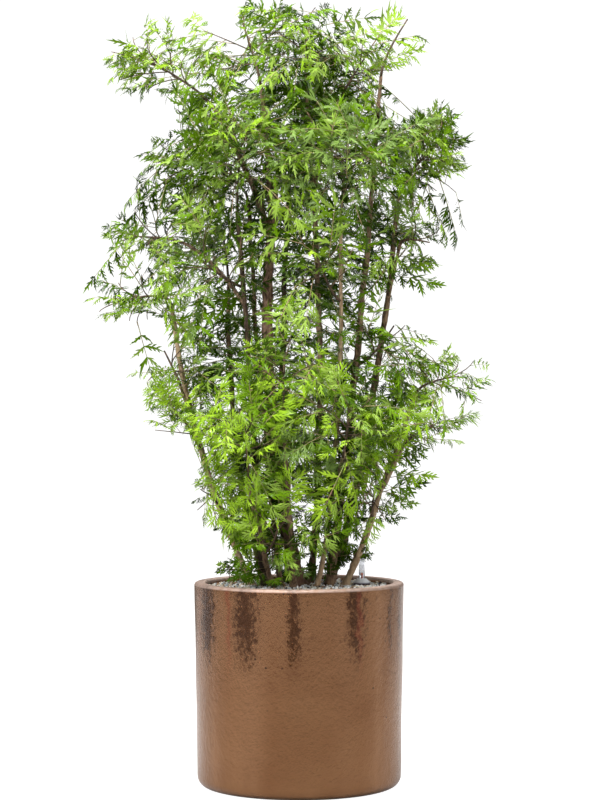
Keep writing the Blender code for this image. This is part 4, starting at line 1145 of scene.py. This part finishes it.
# leaves on the stems and boughs themselves, sparser low down, with tufts and single leaves at the feet
def growOnLimbs(seed):
    rng = random.Random(seed)
    leaves = []
    for name, axis in limbs.items():
        travelled, turn = 0.0, rng.uniform(0, math.tau)
        for below, above in zip(axis, axis[1:]):
            travelled += (above - below).length
            low = above.z < growth["lowHeight"]
            bare = ground + growth["footBare"] if name in growth["leafyFeet"] else growth["bareHeight"]
            if above.z < bare or travelled < growth["lowStep" if low else "limbLeafStep"]:
                continue
            travelled = 0.0
            turn += goldenAngle + rng.uniform(-0.4, 0.4)
            along = (above - below).normalized()
            aside = sideways(along, turn)
            way = aside + along * rng.uniform(*growth["limbLeafRise"])
            # painted shade: limb leaves up in the crown take the shade mix
            tint = rng.choices(range(6), tintMixes["sunny" if low else "shade"])[0]
            form = chosenForm(above.z, growth["broadLow" if low else "broadHigh"], rng)
            full = rng.uniform(*growth["leafLength"][form]) * growth["sizeLow" if low else "sizeHigh"]
            leaf = placedLeaf(above, way, full, tint, form, rng)
            if leaf:
                leaves.append(leaf)
    for stem in growth["tuftedFeet"]:
        for number in range(growth["tuftLeaves"]):
            height = ground + growth["tuftStart"] + growth["tuftStep"] * number
            root = atHeight(limbs[stem], height)[0]
            turn = rng.uniform(0, math.tau)
            way = Vector((math.cos(turn), 0.4 * math.sin(turn), rng.uniform(0.0, 0.5)))
            facing, length = Vector((0.0, -1.0, 0.8)), growth["tuftLength"]
            leaves.append((root, way.normalized(), facing, length, growth["singleDroop"], 4, "broad"))
    for stem, height, way, length, tint in loneLeaves:
        root = atHeight(limbs[stem], height)[0]
        way, facing = Vector(way).normalized(), Vector((0.1, -1.0, 0.7))
        leaves.append((root, way, facing, length, growth["singleDroop"], tint, "broad"))
    return leaves


# places of the leaflets on a leaf's stalk: share of its length, side, length, angle
leafletPlaces = (
    (0.20, 1, 0.29, 1.15), (0.20, -1, 0.29, 1.15), (0.36, 1, 0.34, 1.05), (0.36, -1, 0.34, 1.05),
    (0.52, 1, 0.33, 0.98), (0.52, -1, 0.33, 0.98), (0.66, 1, 0.26, 0.90), (0.66, -1, 0.26, 0.90),
    (0.70, 0, 0.31, 0.0),
)


# all leaflets of the leaves as one joined mesh with tint numbers, and their stalks as another
def leafArrays(leaves, shapes, seed):
    rng = np.random.default_rng(seed)
    root = np.array([leaf[0][:] for leaf in leaves])
    way = unit(np.array([leaf[1][:] for leaf in leaves]))
    facing = np.array([leaf[2][:] for leaf in leaves])
    length = np.array([leaf[3] for leaf in leaves])[:, None]
    droop = np.array([leaf[4] for leaf in leaves])[:, None]
    tint = np.array([leaf[5] for leaf in leaves])
    form = np.array([leaf[6] for leaf in leaves])
    down = np.array([0, 0, -1.0])
    normal = unit(facing - (facing * way).sum(1, keepdims=True) * way)
    side = np.cross(normal, way)

    def along(share):
        return root + way * length * share + down * droop * length * growth["droopShare"] * share ** 2

    paths = np.stack([along(share) for share in leaflet["stalkAt"]], axis=1)
    radii = np.tile(leaflet["stalkRadii"], (len(leaves), 1)) * (length / leaflet["stalkFor"])
    stalks = tubes(paths, radii, 3)

    chosen = {}
    for share, hand, size, angle in leafletPlaces:
        tangent = unit(way + down * droop * 2 * growth["droopShare"] * share)
        turn = angle * rng.uniform(*leaflet["turn"], (len(leaves), 1))
        hang = rng.uniform(*leaflet["hang"], (len(leaves), 1)) * (1.0 if hand else leaflet["endHang"])
        z = unit(tangent * np.cos(turn) + side * hand * np.sin(turn) + down * hang)
        tilt = normal + rng.normal(0, leaflet["tilt"], (len(leaves), 3))
        tilt = tilt + side * hand * leaflet["sideTilt"]
        y = unit(tilt - (tilt * z).sum(1, keepdims=True) * z)
        turns = np.stack([np.cross(y, z), y, z], axis=2)
        turns = turns * (length * size * rng.uniform(*leaflet["size"], (len(leaves), 1)))[:, :, None]
        place = along(share)
        older = (rng.random(len(leaves)) < leaflet["olderTint"]) & (tint < 4)
        shade = np.where(older, tint + 1, tint)
        for name, some in shapes.items():
            kind = rng.integers(0, len(some), len(leaves))
            for number in range(len(some)):
                pick = (form == name) & (kind == number)
                chosen.setdefault((name, number), []).append((turns[pick], place[pick], shade[pick]))
    parts, tints = [], []
    for (name, number), rows in chosen.items():
        points, triangles = shapes[name][number]
        turns, places, numbers = (np.concatenate(column) for column in zip(*rows))
        if len(places):
            parts.append(copies(points, triangles, turns, places))
            tints.append(np.repeat(numbers, len(triangles)))
    points, triangles = joined(parts)
    return points, triangles, np.concatenate(tints), stalks


def makeFoliage():
    rng = random.Random(5)
    shapes = {form: [leafletShape(kind, rng) for kind in kinds for _ in range(2)]
              for form, kinds in leafletKinds.items()}
    materials = [plainMaterial("leaf" + name.capitalize(), colour, 0.30, Specular_IOR_Level=0.14)
                 for name, colour in leafTints.items()]
    twigBark = barkMaterial("twig")
    stalkGreen = plainMaterial("leafStalk", (0.30, 0.30, 0.10), 0.5)
    n = Nodes(stalkGreen)
    streaks = n.ramp(n.noise(40, 3), [(0.35, 0.0), (0.65, 1.0)])
    n.colour(n.mix(streaks, (0.26, 0.34, 0.09), (0.40, 0.24, 0.14)))
    zones = {}
    for seed, (name, row) in enumerate(masses.items(), 900):
        zones.setdefault(row[4], []).append((name, *growMass(name, seed)))
    zones["Inner"] = [(None, [], growOnLimbs(31))]
    total, leafTotal = 0, 0
    for seed, (zone, grown) in enumerate(zones.items(), 70):
        leaves = [leaf for _, _, some in grown for leaf in some]
        points, triangles, tints, stalks = leafArrays(leaves, shapes, seed)
        mesh = meshFromArrays("leaves" + zone, points, triangles, tints)
        newObject("leaves" + zone, mesh, materials, "foliage", *[name for name, _, _ in grown if name])
        mesh = meshFromArrays("leafStalks" + zone, *stalks)
        newObject("leafStalks" + zone, mesh, [stalkGreen], "foliage")
        total += len(triangles) + len(stalks[1])
        leafTotal += len(leaves)
        print(zone, len(leaves), "leaves,", len(triangles), "triangles of leaflets")
        parts = []
        for path, radius, tipRadius in (twig for _, twigs, _ in grown for twig in twigs):
            widths = np.linspace(radius, tipRadius, len(path))[None]
            parts.append(tubes(np.array([[point[:] for point in path]]), widths, 6))
        if parts:
            mesh = meshFromArrays("twigs" + zone, *joined(parts))
            mesh.shade_smooth()
            newObject("twigs" + zone, mesh, [twigBark], "bark")
            total += len(mesh.polygons)
    print("foliage made,", leafTotal, "leaves,", total, "triangles")


makeFoliage()

# Floor, light and camera

studio = {
    "cameraPlace": (0.0017, -4.75, 0.79), "lens": 104.04, "aimHeight": 0.9,
    "world": 0.09, "sides": 0.46, "gloss": 0.08, "floor": (0.35, 0.35, 0.35), "floorGloss": 0.34,
    "top": ((-0.4, -1.2, 4.6), 2.0, 260), "key": ((-2.6, -3.6, 3.4), 1.5, 215),
    "fill": ((3.2, -3.0, 1.8), 1.8, 70), "back": ((0.8, 3.6, 3.6), 2.2, 80),
    # low dark cards that only the pot's gloss shows: angle round the pot, distance, width, height
    "cards": ((-108, 2.3, 0.80, 0.6), (-58, 2.3, 0.70, 0.6), (-8, 2.2, 0.32, 0.5), (58, 2.6, 0.75, 0.5),
              (129, 2.4, 0.6, 0.6), (-160, 2.6, 0.8, 0.6), (178, 2.4, 0.5, 0.6)),
}


def makeStudio():
    world = bpy.data.worlds.new("paleStudio")
    world.use_nodes = True
    n = Nodes(world, "Background", "Generated")
    n.shader.inputs["Color"].default_value = (1, 1, 1, 1)
    x = n.part("X")  # brighter to the left and right, and white where it is seen
    strength = n.plus(n.times(n.times(x, x), studio["sides"]), studio["world"])
    strength = n.plus(strength, n.times(n.ray("Glossy"), studio["gloss"]))
    seen = n.plus(n.ray("Camera"), n.ray("Transmission"))
    n.link(n.plus(strength, seen), n.shader.inputs["Strength"])
    bpy.context.scene.world = world

    bm = bmesh.new()
    bmesh.ops.create_circle(bm, cap_ends=True, segments=96, radius=14)
    mesh = meshFrom("paleFloor", bm)
    floor = placed(bpy.data.objects.new("paleFloor", mesh))
    pale = plainMaterial("paleFloor", studio["floor"], 0.8, Emission_Color=(1, 1, 1, 1))
    mesh.materials.append(pale)
    n = Nodes(pale)  # in the pot's gloss the floor is brighter at the sides and back than in front
    x, y = n.part("X"), n.part("Y")
    far = n.math("SQRT", n.plus(n.times(x, x), n.times(y, y)), 0.0)
    aside = n.times(n.plus(n.math("DIVIDE", y, far), 1.0), studio["floorGloss"])
    seen = n.plus(n.ray("Camera"), n.ray("Transmission"))
    strength = n.plus(n.times(aside, n.ray("Glossy")), seen)
    n.link(strength, n.shader.inputs["Emission Strength"])
    floor.location.z = -0.0005

    black = plainMaterial("blackCard", (0.02, 0.02, 0.02), 0.9)
    for number, (angle, distance, width, height) in enumerate(studio["cards"]):
        bm = bmesh.new()
        bmesh.ops.create_grid(bm, x_segments=1, y_segments=1, size=0.5)
        bmesh.ops.scale(bm, verts=bm.verts, vec=(width, height, 1))
        bmesh.ops.rotate(bm, verts=bm.verts, matrix=Matrix.Rotation(math.radians(90), 3, "X"))
        bmesh.ops.translate(bm, verts=bm.verts, vec=(0, -distance, height / 2))
        bmesh.ops.rotate(bm, verts=bm.verts, matrix=Matrix.Rotation(math.radians(angle), 3, "Z"))
        mesh = meshFrom(f"darkCard{number}", bm)
        mesh.materials.append(black)
        card = placed(bpy.data.objects.new(mesh.name, mesh))
        card.visible_camera = card.visible_diffuse = False
        card.visible_shadow = card.visible_transmission = False

    for name in ("top", "key", "fill", "back"):
        place, size, power = studio[name]
        light = bpy.data.lights.new(name + "Light", "AREA")
        light.shape = "SQUARE"
        light.size = size
        light.energy = power
        lamp = placed(bpy.data.objects.new(name + "Light", light))
        lamp.visible_glossy = name != "fill"
        lamp.location = place
        aim = Vector((0, 0, studio["aimHeight"])) - Vector(place)
        lamp.rotation_euler = aim.to_track_quat("-Z", "Y").to_euler()

    camera = bpy.data.cameras.new("camera")
    camera.lens = studio["lens"]
    camera.sensor_width = 36
    eye = placed(bpy.data.objects.new("camera", camera))
    eye.location = studio["cameraPlace"]
    eye.rotation_euler = (math.radians(90), 0, 0)
    bpy.context.scene.camera = eye
    bpy.context.scene.view_settings.view_transform = "Standard"


makeStudio()
print("studio made")
